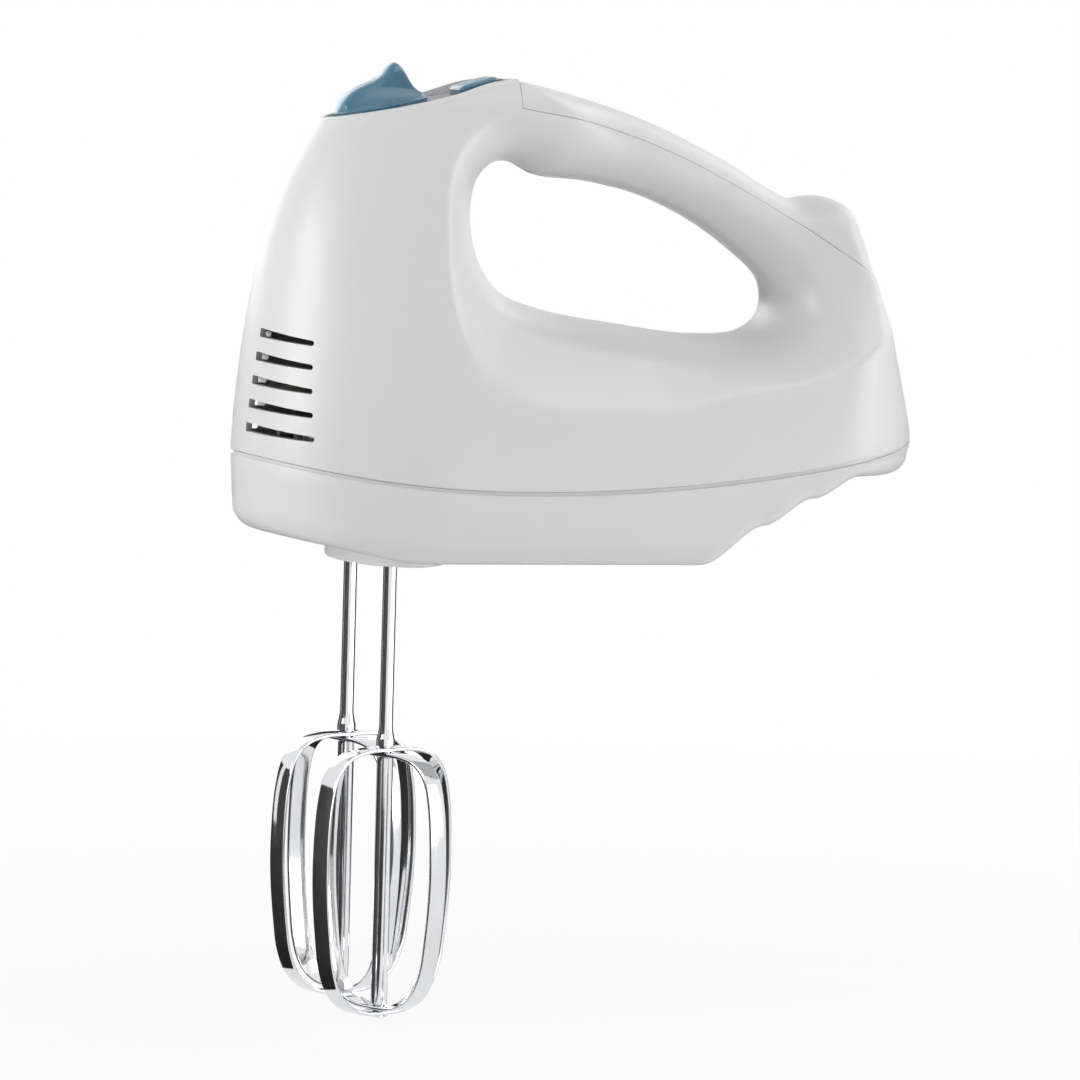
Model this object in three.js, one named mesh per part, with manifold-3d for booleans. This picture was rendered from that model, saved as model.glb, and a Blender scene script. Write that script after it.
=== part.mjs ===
// A two-beater hand mixer, as an assembly of separate pieces.
// Millimetres, +Z up, the nose towards -X. The user's left is -Y, the right is +Y.
// Pieces are drawn in the housing frame: x = 0 on the beater axes, z = 0 at the beater
// sockets' mouths. The last lines move the origin to the middle of the hand grip.
import * as THREE from "three";
import { mergeVertices } from "three/addons/utils/BufferGeometryUtils.js";
import Module from "manifold-3d";

const wasm = await Module();
wasm.setup();

// ---------------------------------------------------------------- fits and walls
const GAP = 0.3; // between pieces that touch
const RUN = 0.4; // between a turning or sliding piece and its seat
const FAR = 400; // past every surface, for cuts that go right through
const WALL = 2.2; // main housing and handle cover
const TRAY_WALL = 3.4; // bottom housing
const GROOVE = 1.1; // height of the groove at the bottom seam
const LIP_WALL = 1.2; // tongue of the bottom housing inside the groove
const LIP_RISE = 2; // how far the tongue passes the seam

// ---------------------------------------------------------------- body form
const NOSE_LINE = [[-39.8, 20], [-39.2, 40], [-35.7, 71], [-31, 94], [-25.8, 108], [-17.5, 122.6]];
const RIM_LINE = [[-17.5, 122.6], [0, 126.1], [15.6, 129.7], [26.9, 133.4], [34.5, 134.6]];
const COVER_TOP = [
  [34.5, 134.6], [51.4, 131.2], [75, 124.2], [99, 113.5], [111, 106.5],
  [119, 103], [128, 103.9], [134, 101.4], [138, 93.8], [143, 79],
];
const COVER_SEAM = [[34.5, 126.6], [58, 122.5], [81.5, 114.7], [105.4, 102.9], [129.7, 88], [143, 79]];
const REAR_LINE = [[143, 79], [147.1, 66], [150.4, 54.8], [154.7, 37], [155, 22]];
const OPENING = [
  [24.5, 95], [26, 106], [31, 111], [37, 111.5], [45, 108], [60, 106.5], [75.5, 103], [90.5, 96.5],
  [103.5, 88], [113, 79], [113.5, 71], [107.5, 66], [91, 64.5], [69, 67], [47.5, 70.5], [34, 75.5],
  [27.5, 83.5],
];
const SIDE_HALF = 43; // half width at the seam
const RIM_HALF = 22; // half width at the top of the head
const SIDE_FOOT = 22; // height where the taper starts
const SIDE_RISE = 101; // height from there to the top of the head
const NOSE_DEPTH = 50; // length of the nose's plan ellipse at the seam
const NOSE_DEPTH_LOSS = 0.2; // shortening of that ellipse per mm of height
const GRIP_HALF = 16.5; // half width of the handle
const OPENING_EDGE = 10; // rounding of the opening's edges
const CREASE = 1.4; // softness of the crease round the opening
const DISH_SLOPES = [0.3, 0, 0, 0.36, 1.17, 0.88, 1.1, 1.75]; // every 45 degrees from +X, towards +Z
const COVER_EDGE = [1.7, 12, 8]; // rounding of the cover's top edges: its front, the grip and the heel
const COVER_EDGE_X = [62, 108, 130]; // x where that of the grip starts and ends, and that of the heel starts
const STERN_EDGE_GAIN = 0.7; // gain of that rounding per mm below the cover
const SEAM_LOW = [33, 21.8]; // lowest point of the bottom seam
const SEAM_RISE = [0.00153, 0.00102]; // its curvature towards the nose and the rear
const TRIM = 0.1; // what the cuts along the cover's seam take off its edges
const SEAM_ENDS = [-39.6, 154.6]; // x of the seam at the nose and at the rear
const FLOOR = 2; // underside of the tray
const FLOOR_NOSE = [2, 0.19]; // x where the underside starts to rise to the nose, and its slope
const HEEL_STEPS = [[84, 103, 11], [102, 117, 7.6], [117, 131, 6]]; // from x, to x, rise
const TRAY_EDGE = 6; // rounding of the tray's lower edge
const TRAY_DRAFT = 0.8; // inset of the tray's side at the rounding
const RIM_CHAMFER = 1.4; // chamfer of the head's top edge
const LEFT = -1; // sign of y on the left side
const RIGHT = 1;

// ---------------------------------------------------------------- vents
const VENT_COUNT = 5;
const VENT_PITCH = 6.5;
const VENT_TOP = 63.5; // middle of the highest vent
const VENT_HEIGHT = 2.5;
const VENT_TAIL = 1.5; // height of a vent at its rear end
const VENT_FRONT_Y = [9, 7.5]; // y of the front ends of the highest and the lowest vent
const VENT_REAR_Y = [26, 29.5]; // y of their rear ends
const VENT_DROP = 2.1; // fall of a vent from front to rear

// ---------------------------------------------------------------- control panel, dial and button
const DIAL_X = -0.5; // dial axis at the panel
const PANEL_TILT = THREE.MathUtils.degToRad(12);
const PANEL_SINK = 0.8; // panel face below the dial's datum
const PANEL_PLATE = 1.4;
const PANEL_NOSE = 12; // x where the rounded nose of its outline ends
const PANEL_INSET = 2.4; // from the head's rim to the panel's edge
const PANEL_FLOOR = 2; // housing under the panel
const PANEL_END = 33.6; // x of the panel's rear edge
const DIAL_RADIUS = 13.2;
const DIAL_WELL = DIAL_RADIUS + 0.5;
const DIAL_SKIRT = 1.6; // depth of the dial's skirt below the datum
const DIAL_DOME = 4.2; // height of its dome
const FIN_HALF = 4.4; // half thickness of the dial's grip fin
const FIN_LINE = [
  [-12.4, 0.6], [-10.7, 3.6], [-7.4, 5.6], [-4.4, 6.5], [-1.3, 7.3], [1.3, 8.5], [3.2, 10.1],
  [4.9, 11.2], [6.2, 11.2], [7.4, 10], [8.3, 7.4], [9, 4.6], [10.6, 2.2], [12.4, 0.6],
];
const STEM_RADIUS = 3;
const STEM_LENGTH = 40;
const EJECT_TRAVEL = 5;
const ROTOR_RADIUS = 11;
const ROTOR_TOP = 9.5; // depth of the rotor's top below the datum
const ROTOR_HEIGHT = 3.5;
const STEM_KEY = [4.1, 1.6, 8, 15]; // reach, width, upper and lower depth of the stem's key
const SWITCH_SIZE = [18, 24, 8.4];
const BOARD_SIZE = [18, 41, 1.6];
const BOARD_MID = -3; // t of the board's middle
const BOARD_POST = [18.5, 2]; // y and radius of the posts that hold the board
const BURST_FROM = 21.9; // t of the button's front edge, along the panel
const BURST_SIZE = [11.4, 13];
const BURST_PROUD = 3.4;
const BURST_TRAVEL = 2;
const BURST_FLANGE = [1, 1]; // width and thickness of its retaining flange
const BURST_STEM = [1.2, 3.8]; // radius and length below the flange
const BURST_SWITCH = [9, 4.4]; // length and height
const BURST_SPRING = [2.4, 0.3, 3, 4.4]; // coil radius, wire radius, turns, length
const BURST_POST = 1.5;

// ---------------------------------------------------------------- gear train
const BEATER_Y = 20;
const MOTOR_Z = 32;
const TOOTH_MODULE = 1;
const GEAR_TEETH = 32;
const GEAR_PITCH = (TOOTH_MODULE * GEAR_TEETH) / 2;
const WORM_PITCH = BEATER_Y - GEAR_PITCH; // worm pitch radius
const THREAD_STEP = Math.PI * TOOTH_MODULE;
const TOOTH_HALF = 0.6; // half thickness of teeth and thread at the pitch line
const ADDENDUM = 0.85;
const DEDENDUM = 1.3;
const PRESSURE_SLOPE = Math.tan(THREE.MathUtils.degToRad(20));
const GEAR_FACE = 8;
const WORM_LENGTH = 22;
const SPINDLE_RADIUS = 6;
const SPINDLE_BORE = 2.3;
const SPINDLE_FOOT = 6.7; // z of the spindle's lower end
const SPINDLE_TOP = 52;
const KEY_RADIUS = 3.9; // beater's drive lugs
const KEY_WIDTH = 1.6;
const KEY_Z = [14, 22];
const BUSH = [1.8, 8.4]; // wall and height of a spindle bush
const SOCKET = 4.7; // radius of a beater hole in the underside
const PAD = [4, 15, 31, 0.5, 6.2]; // centre x, half length, half width, lower and upper z of the socket pad
const HUB_RADIUS = 9;
const WASHER = [9, 1.2]; // radius and thickness
const BOSS_WALL = 2;
const CARRIER_Z = 44;
const CARRIER_PLATE = 3;
const CARRIER_LINE = [[-24.5, 13], [-13, 30], [24, 35]];
const POSTS = [[-20.5, 9], [21, 31]]; // x and y of the posts under the carrier
const POST_RADIUS = 3;

// ---------------------------------------------------------------- ejector
const PIN_RADIUS = 1.9;
const PIN_HEAD = [4, 2];
const BEATER_TOP = 40; // z of the beater's upper end in its spindle
const YOKE_Z = 66.3;
const YOKE_PLATE = 3;
const YOKE_X = [-5, 13];
const YOKE_HALF = 25;
const FORK_X = 8;
const FORK_RADIUS = 5;
const FORK_BORE_SPARE = 1; // bore past the guide at full travel
const GUIDE_RADIUS = 2.5;
const GUIDE_TOP = 76;
const EJECT_SPRING = [3.9, 0.5, 6]; // coil radius, wire radius, turns

// ---------------------------------------------------------------- motor
const SHAFT_RADIUS = 3;
const SHAFT_X = [-14, 114];
const BEARING = [6.5, 4]; // radius and length
const FRONT_BEARING_X = 15.5;
const REAR_BEARING_X = 108;
const BRACKET_RIM = 0.7; // bracket beyond the bearing at each side
const FRONT_BRACKET = [10.3, 12]; // half width and lower z
const REAR_BRACKET = [24, 24, 42];
const FAN_X = 27;
const FAN = [22, 8, 9]; // radius, length, blades
const CORE_X = [47, 79];
const CORE_RADIUS = 14;
const CORE_SLOTS = 12;
const AIR_GAP = 0.7;
const STATOR_RIB_INSET = 5;
const POLE_HALF = 7.5; // half height of a pole
const COIL = 4; // thickness along y
const COIL_HALF = 16.1; // half height of a coil
const WINDOW_NEAR = 9; // y where a coil's window starts, inside the armature's bore
const YOKE = [4, 4.5]; // stator outside the windows, beside and above them
const COIL_END = 4.3; // overhang of a coil past the core
const WINDING = [12.8, 6.5]; // radius and length of a winding head
const COMMUTATOR_X = 90;
const COMMUTATOR = [8, 12];
const BRUSH = [6, 5, 12]; // along x, along z, length
const HOLDER = [1.4, 15]; // wall and length
const FAN_HUB = [6, 1.5, 1.4]; // hub radius, back plate and blade thickness

// ---------------------------------------------------------------- beaters
const BEATER_SHAFT = 1.9;
const BEATER_POST = 2.3;
const CAGE_TOP = -50;
const CAGE_TIP = -124;
const STRIP_WIDTH = 5.9;
const STRIP = 1; // thickness
const CAGE_LINE = [ // from the top down, outer face of the outer strip
  [8, -0.1], [15.6, -2], [20.2, -6.6], [22.6, -14.7], [23.7, -29], [23.5, -40], [22.2, -52], [20.7, -60.5],
  [17.8, -67], [13, -71.5], [7.5, -73.6],
];
const SHOULDER = [2.6, 2.5, 6]; // radius, height and taper end above the cage
const RIVET = [1.5, 2.7, 0.7]; // neck radius, head radius, head height
const PHASE = { left: THREE.MathUtils.degToRad(27.5), right: THREE.MathUtils.degToRad(22) };

// ---------------------------------------------------------------- screws and cord inlet
const SCREW_INSET = 11; // rear screws inside the body's widest line
const HOUSING_SCREWS = [["front", -22, 17], ["rear", 76, SIDE_HALF - SCREW_INSET]]; // x and y of each pair
const SCREW = [1.5, 3, 2.2]; // shank radius, head radius, head height
const SCREW_BOSS = 4.2;
const SCREW_GRIP = 10; // shank past the seam
const SCREW_SINK = 1.2; // head below the surface
const SCREW_END = 3; // boss past the shank's end
const RIB = 2.5;
const COVER_SCREWS = [["front", 45], ["rear", 64]]; // x along the handle
const COVER_SCREW_GRIP = 9;
const COVER_BOSS = 6; // height of the boss over the opening's upper edge
const COVER_POST = 3.4;
const GLAND = [5.6, 3.2, 7.2]; // outer, bore and flange radius
const GLAND_X = [141.6, 151.3, 152.7]; // inner end, flange face and outer end
const GLAND_Z = 51;
const GLAND_SEAT = [146.8, 149.3, 8.4]; // x and radius of the thickening round it
const GRIP_CENTRE = [66, 0, 115]; // middle of the hand grip, the part's origin

// ---------------------------------------------------------------- materials
const finish = (color, roughness, metalness) => (
  new THREE.MeshStandardMaterial({ color, roughness, metalness })
);
const WHITE = finish(0xe9e9e8, 0.35, 0);
const BLUE = finish(0x4f8fae, 0.25, 0);
const GREY = finish(0x8d8b93, 0.5, 0);
const CHROME = finish(0xd5d8db, 0.08, 1);
const STEEL = finish(0x9a9ea2, 0.35, 1);
const BRONZE = finish(0x9a7a45, 0.4, 1);
const COPPER = finish(0xa35a2a, 0.35, 1);
const NYLON = finish(0xd9d4c4, 0.5, 0);
const BLACK = finish(0x232427, 0.6, 0);
const CARBON = finish(0x303236, 0.8, 0.1);
const BOARD = finish(0x2f6b3c, 0.5, 0);

// ---------------------------------------------------------------- helpers for solids
const curve = (points, closed = false) =>
  new THREE.CatmullRomCurve3(points.map(([x, z]) => new THREE.Vector3(x, 0, z)), closed, "centripetal");
const lerp = THREE.MathUtils.lerp;
const span = (count) => Array.from({ length: count + 1 }, (_, i) => i / count);
const eased = (count) => span(count).map((f) => (1 - Math.cos(Math.PI * f)) / 2);

function toSolid(geometry) {
  const bare = geometry.clone();
  bare.deleteAttribute("normal");
  bare.deleteAttribute("uv");
  const merged = mergeVertices(bare, 1e-4);
  const triangles = merged.index.array.filter((_, i, a) => {
    const [p, q, r] = [0, 1, 2].map((k) => a[i - (i % 3) + k]);
    return p !== q && q !== r && r !== p;
  });
  return new wasm.Manifold(new wasm.Mesh({
    numProp: 3,
    vertProperties: new Float32Array(merged.attributes.position.array),
    triVerts: new Uint32Array(triangles),
  }));
}

function toGeometry(solid) {
  const mesh = solid.getMesh();
  const geometry = new THREE.BufferGeometry();
  geometry.setAttribute("position", new THREE.BufferAttribute(new Float32Array(mesh.vertProperties), 3));
  geometry.setIndex(new THREE.BufferAttribute(new Uint32Array(mesh.triVerts), 1));
  return geometry;
}

const joined = (...solids) => solids.reduce((whole, solid) => whole.add(solid));
const cut = (solid, ...tools) => tools.reduce((whole, tool) => whole.subtract(tool), solid);
const moved = (geometry, x, y, z) => toSolid(geometry.clone().translate(x, y, z));

// An upright cylinder between two heights, and one along X or Y between two places.
const post = (x, y, low, high, radius, sides = 12) => {
  const rod = new THREE.CylinderGeometry(radius, radius, high - low, sides).rotateX(Math.PI / 2);
  return moved(rod, x, y, (low + high) / 2);
};
const rodX = (from, to, y, z, radius, sides = 20) => {
  const rod = new THREE.CylinderGeometry(radius, radius, to - from, sides).rotateZ(Math.PI / 2);
  return moved(rod, (from + to) / 2, y, z);
};
const block = ([x0, x1], [y0, y1], [z0, z1]) =>
  moved(new THREE.BoxGeometry(x1 - x0, y1 - y0, z1 - z0), (x0 + x1) / 2, (y0 + y1) / 2, (z0 + z1) / 2);
const sleeve = (x, y, low, high, outer, inner, sides = 24) =>
  cut(post(x, y, low, high, outer, sides), post(x, y, low - 1, high + 1, inner, sides));
const extruded = (points, height, holes = []) => {
  const shape = new THREE.Shape(points.map(([x, y]) => new THREE.Vector2(x, y)));
  shape.holes = holes.map((hole) => new THREE.Path(hole.map(([x, y]) => new THREE.Vector2(x, y))));
  return new THREE.ExtrudeGeometry(shape, { depth: height, bevelEnabled: false });
};

// A coil spring about a vertical axis.
function spring(x, y, low, high, [radius, wire, turns]) {
  const steps = turns * 9;
  const path = new THREE.CatmullRomCurve3(span(steps).map((f) => new THREE.Vector3(
    x + radius * Math.cos(2 * Math.PI * turns * f),
    y + radius * Math.sin(2 * Math.PI * turns * f),
    lerp(low + wire, high - wire, f),
  )));
  const section = new THREE.Shape(span(5).slice(1).map((f) => new THREE.Vector2(
    wire * Math.cos(2 * Math.PI * f),
    wire * Math.sin(2 * Math.PI * f),
  )));
  return toSolid(new THREE.ExtrudeGeometry(section, { steps, extrudePath: path, bevelEnabled: false }));
}

// ---------------------------------------------------------------- helpers for skins
function solidOf(points, faces) {
  const geometry = new THREE.BufferGeometry();
  const places = points.flatMap((p) => [p.x, p.y, p.z]);
  geometry.setAttribute("position", new THREE.Float32BufferAttribute(places, 3));
  geometry.setIndex(faces.flat());
  return toSolid(geometry);
}

// A skin is a list of points and triangles. thicken gives an open one a wall.
class Skin {
  constructor() {
    this.points = [];
    this.faces = [];
    this.level = new Set(); // points whose wall is measured level
  }

  point(x, y, z, level = false) {
    this.points.push(new THREE.Vector3(x, y, z));
    if (level) this.level.add(this.points.length - 1);
    return this.points.length - 1;
  }

  quad(a, b, c, d) {
    for (const face of [[a, b, c], [a, c, d]]) {
      if (new Set(face).size === 3) this.faces.push(face);
    }
  }

  normals() {
    const sums = this.points.map(() => new THREE.Vector3());
    for (const face of this.faces) {
      const [a, b, c] = face.map((i) => this.points[i]);
      const normal = b.clone().sub(a).cross(c.clone().sub(a)).normalize();
      face.forEach((i) => sums[i].add(normal));
    }
    return sums.map((sum, i) => (this.level.has(i) ? sum.setZ(0) : sum).normalize());
  }

  thicken(wall) {
    const count = this.points.length;
    const normals = this.normals();
    const inner = this.points.map((p, i) => p.clone().addScaledVector(normals[i], -wall));
    const edges = new Map();
    for (const [a, b, c] of this.faces) {
      for (const [p, q] of [[a, b], [b, c], [c, a]]) {
        if (!edges.delete(`${q},${p}`)) edges.set(`${p},${q}`, [p, q]);
      }
    }
    const faces = [...this.faces];
    for (const [a, b, c] of this.faces) faces.push([c + count, b + count, a + count]);
    for (const [p, q] of edges.values()) {
      faces.push([q, p, p + count], [q, p + count, q + count]);
    }
    return solidOf([...this.points, ...inner], faces);
  }

  closed() {
    return solidOf(this.points, this.faces);
  }
}

// ---------------------------------------------------------------- form of the body
const sampled = (points, closed = false, count = 160) => curve(points, closed).getPoints(count);
const noseSamples = sampled(NOSE_LINE);
const rimSamples = sampled(RIM_LINE);
const openingSamples = sampled(OPENING, true);
const sternSamples = [...sampled(COVER_TOP), ...sampled(REAR_LINE)];

// Reads one coordinate of a sampled line where another has a given value.
function read(samples, from, value, to) {
  const rising = samples[samples.length - 1][from] > samples[0][from];
  let i = samples.findIndex((p) => (rising ? p[from] >= value : p[from] <= value));
  if (i < 0) i = samples.length - 1;
  i = Math.max(1, i);
  const [a, b] = [samples[i - 1], samples[i]];
  return lerp(a[to], b[to], (value - a[from]) / (b[from] - a[from]));
}

function distance(samples, x, z) {
  let best = Infinity;
  for (let i = 1; i < samples.length; i += 1) {
    const [a, b] = [samples[i - 1], samples[i]];
    const [dx, dz] = [b.x - a.x, b.z - a.z];
    const along = ((x - a.x) * dx + (z - a.z) * dz) / (dx * dx + dz * dz || 1);
    const f = THREE.MathUtils.clamp(along, 0, 1);
    best = Math.min(best, Math.hypot(x - a.x - f * dx, z - a.z - f * dz));
  }
  return best;
}

const roundOff = (t, power) => {
  const rest = 1 - THREE.MathUtils.clamp(t, 0, 1);
  return Math.pow(1 - Math.pow(rest, power), 1 / power);
};
const softMin = (a, b, k) => -k * Math.log(Math.exp(-a / k) + Math.exp(-b / k));
const noseX = (z) => read(noseSamples, "z", z, "x");
const rimZ = (x) => read(rimSamples, "x", x, "z");
const seamZ = (x) => SEAM_LOW[1] + SEAM_RISE[x < SEAM_LOW[0] ? 0 : 1] * (x - SEAM_LOW[0]) ** 2;
const openingBox = new THREE.Box3().setFromPoints(openingSamples);
const openingCentre = openingBox.getCenter(new THREE.Vector3());

function dishSlope(x, z) {
  const turns = Math.atan2(z - openingCentre.z, x - openingCentre.x) / (2 * Math.PI) + 1;
  const place = (turns % 1) * DISH_SLOPES.length;
  const i = Math.floor(place);
  const soft = THREE.MathUtils.smoothstep(place - i, 0, 1);
  return lerp(DISH_SLOPES[i % DISH_SLOPES.length], DISH_SLOPES[(i + 1) % DISH_SLOPES.length], soft);
}

function sternEdge(x, z) {
  const [front, grip, heel] = COVER_EDGE;
  const onGrip = THREE.MathUtils.smoothstep(x, COVER_TOP[0][0], COVER_EDGE_X[0]);
  const onHeel = THREE.MathUtils.smoothstep(x, COVER_EDGE_X[1], COVER_EDGE_X[2]);
  const low = Math.max(0, REAR_LINE[0][1] - z);
  return lerp(lerp(front, grip, onGrip), heel, onHeel) + STERN_EDGE_GAIN * low;
}

// Half width of the body at a place on its side view.
function halfWidth(x, z) {
  const height = Math.max(0, z - SIDE_FOOT) / SIDE_RISE;
  const side = SIDE_HALF - (SIDE_HALF - RIM_HALF) * height ** 1.6;
  const depth = NOSE_DEPTH - NOSE_DEPTH_LOSS * (z - SIDE_FOOT);
  const boat = side * roundOff((x - noseX(z)) / depth, 2);
  const away = distance(openingSamples, x, z);
  const dish = GRIP_HALF + dishSlope(x, z) * away;
  const stern = x > COVER_TOP[0][0] - COVER_EDGE[1] ? distance(sternSamples, x, z) / sternEdge(x, z) : 1;
  return Math.max(0, softMin(boat, dish, CREASE)) * roundOff(away / OPENING_EDGE, 2.3) * roundOff(stern, 2.2);
}

// ---------------------------------------------------------------- main housing
// Each stretch of the outline pairs with a stretch of the opening, in turns of its curve.
const openingCurve = curve(OPENING, true);
const openingAt = (turn) => openingCurve.getPointAt(((turn % 1) + 1) % 1);
const along = (points, count, crowd = 1) => {
  const line = curve(points);
  return span(count).map((f) => line.getPointAt(1 - (1 - f) ** crowd));
};
const seamPoint = (x, lift = 0) => new THREE.Vector3(x, 0, seamZ(x) + lift);

function outline() {
  const low = GROOVE / 2;
  const foot = [SEAM_ENDS[0], seamZ(SEAM_ENDS[0]) + low];
  const noseLine = [foot, ...NOSE_LINE.filter(([, z]) => z > foot[1])];
  const rear = [...REAR_LINE.slice(0, 3), [SEAM_ENDS[1], seamZ(SEAM_ENDS[1]) + low]];
  return [
    { line: along(noseLine, 9), kind: "nose", turns: [-0.085, 0.05] },
    { line: along(RIM_LINE, 7), kind: "rim", turns: [0.05, 0.08] },
    { line: along([RIM_LINE.at(-1), COVER_SEAM[0]], 2), kind: "step", turns: [0.08, 0.095] },
    { line: along(COVER_SEAM, COVER_COLUMNS, COVER_CROWD), kind: "cover", turns: [0.095, 0.49] },
    { line: along(rear, 5), kind: "rear", turns: [0.49, 0.56] },
    { line: [...SEAM_STATIONS].reverse().map((x) => seamPoint(x, low)), kind: "seam", turns: [0.56, 0.915] },
  ];
}

const toRear = (from, to, count) => span(count).map((f) => lerp(from, to, Math.sin((Math.PI / 2) * f)));
const toNose = (from, to, count) => span(count).map((f) => lerp(from, to, 1 - Math.cos((Math.PI / 2) * f)));
const even = (from, to, count) => span(count).map((f) => lerp(from, to, f));
const STEP_START = HEEL_STEPS[0][0];
const STEP_END = HEEL_STEPS.at(-1)[1];
const NOSE_STATIONS = [
  ...toNose(SEAM_ENDS[0], SEAM_LOW[0], 9).slice(0, -1),
  ...even(SEAM_LOW[0], STEP_START, 3).slice(0, -1),
];
const REAR_STATIONS = toRear(STEP_END, SEAM_ENDS[1], 6);
const SEAM_STATIONS = [...NOSE_STATIONS, ...even(STEP_START, STEP_END, 4).slice(0, -1), ...REAR_STATIONS];
const TRAY_STATIONS = [...NOSE_STATIONS, ...even(STEP_START, STEP_END, 13).slice(0, -1), ...REAR_STATIONS];
const ROWS = eased(7);
const COVER_COLUMNS = 10; // places along the cover's seam
const COVER_CROWD = 1.5; // crowding of those places towards the rear

function mainSkin() {
  const skin = new Skin();
  const columns = [];
  for (const { line, kind, turns } of outline()) {
    line.slice(0, -1).forEach((outer, i) => {
      const corner = i === 0;
      columns.push({ outer, kind, corner, inner: openingAt(lerp(...turns, i / (line.length - 1))) });
    });
  }
  const ends = (c, first, second) => c.kind === first || c.kind === second;
  const closed = (c) => ends(c, "nose", "rear") || (c.corner && ends(c, "rim", "seam"));
  const grid = columns.map((column) => {
    const { inner, outer, kind } = column;
    const drop = kind === "rim" || (kind === "step" && column.corner) ? RIM_CHAMFER : 0;
    const edge = ends(column, "seam", "cover") || (column.corner && ends(column, "nose", "rear"));
    return ROWS.map((s) => {
      const x = lerp(inner.x, outer.x, s);
      const z = lerp(inner.z, outer.z - drop, s);
      const shut = s === 0 || (s === 1 && closed(column));
      const y = shut ? 0 : halfWidth(x, z);
      const level = s === 1 && edge;
      if (shut) {
        const only = skin.point(x, 0, z, level);
        return [only, only];
      }
      return [skin.point(x, -y, z, level), skin.point(x, y, z, level)];
    });
  });
  const count = columns.length;
  for (let i = 0; i < count; i += 1) {
    const next = grid[(i + 1) % count];
    for (let j = 1; j < ROWS.length; j += 1) {
      skin.quad(grid[i][j - 1][0], next[j - 1][0], next[j][0], grid[i][j][0]);
      skin.quad(grid[i][j - 1][1], grid[i][j][1], next[j][1], next[j - 1][1]);
    }
  }
  capHead(skin, columns, grid);
  return skin;
}

// The chamfer and the face across the top of the head.
function capHead(skin, columns, grid) {
  const first = columns.findIndex((c) => c.kind === "rim");
  const last = columns.findIndex((c) => c.kind === "step");
  const rim = span(last - first).map((_, k) => grid[first + k].at(-1));
  const inset = rim.map(([left, right], k) => {
    const at = (i) => skin.points[rim[THREE.MathUtils.clamp(i, 0, rim.length - 1)][0]];
    const run = at(k + 1).clone().sub(at(k - 1)).setZ(0).normalize();
    const out = k === 0 ? new THREE.Vector3(-1, 0, 0) : new THREE.Vector3(run.y, -run.x, 0);
    const p = skin.points[left].clone().addScaledVector(out, -RIM_CHAMFER);
    const z = skin.points[left].z + RIM_CHAMFER;
    if (k === 0) {
      const only = skin.point(p.x, 0, z);
      return [only, only];
    }
    return [skin.point(p.x, p.y, z), skin.point(p.x, -p.y, z)];
  });
  for (let k = 1; k < rim.length; k += 1) {
    skin.quad(rim[k - 1][0], rim[k][0], inset[k][0], inset[k - 1][0]);
    skin.quad(rim[k - 1][1], inset[k - 1][1], inset[k][1], rim[k][1]);
    skin.quad(inset[k - 1][0], inset[k][0], inset[k][1], inset[k - 1][1]);
  }
}

// ---------------------------------------------------------------- plan curves
// A plan curve from nose to rear on the right side, moved inwards by an inset.
function insetPlan(stations, width, inset, closedRear = true) {
  const last = stations.length - 1;
  const raw = stations.map((x, i) => [x, i === 0 || (closedRear && i === last) ? 0 : width(x)]);
  return raw.map(([x, y], i) => {
    const before = i === 0 ? [x, -1] : raw[i - 1];
    const after = i === last ? (closedRear ? [x, -1] : [x + 1, y]) : raw[i + 1];
    const [dx, dy] = i === 0 ? [0, 1] : [after[0] - before[0], after[1] - before[1]];
    const length = Math.hypot(dx, dy);
    return [x + (dy / length) * inset, i === 0 ? 0 : Math.max(0, y - (dx / length) * inset)];
  });
}

const rimWidth = (x) => halfWidth(x, rimZ(x) - RIM_CHAMFER);
const seamWidth = (x) => halfWidth(x, seamZ(x));

// ---------------------------------------------------------------- bottom housing
function floorZ(x) {
  const nose = FLOOR_NOSE[1] * Math.max(0, FLOOR_NOSE[0] - x);
  const steps = HEEL_STEPS.map(([from, to, rise]) => rise * THREE.MathUtils.smoothstep(x, from, to));
  return FLOOR + nose + steps.reduce((sum, step) => sum + step);
}

const trayFloor = (x) => floorZ(x) + TRAY_WALL;
const trayEdge = (x) => Math.min(TRAY_EDGE, 0.8 * (seamZ(x) - GROOVE / 2 - floorZ(x)));
const LIP_FACE = WALL + 3 * GAP; // inset of the tongue's outer face

// Rings round the plan, each an inset with its own height: up the inside, over the tongue, down
// the outside.
const trayRings = [
  [TRAY_DRAFT + TRAY_EDGE, trayFloor],
  [LIP_FACE + LIP_WALL, (x) => trayFloor(x) + trayEdge(x) / 2],
  [LIP_FACE + LIP_WALL, (x) => seamZ(x) + LIP_RISE],
  [LIP_FACE, (x) => seamZ(x) + LIP_RISE],
  [LIP_FACE, (x) => seamZ(x) - GROOVE / 2],
  [0, (x) => seamZ(x) - GROOVE / 2],
  ...span(3).map((f) => {
    const angle = (Math.PI / 2) * f;
    return [
      TRAY_DRAFT + TRAY_EDGE * (1 - Math.cos(angle)),
      (x) => floorZ(x) + trayEdge(x) * (1 - Math.sin(angle)),
    ];
  }),
];

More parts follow.
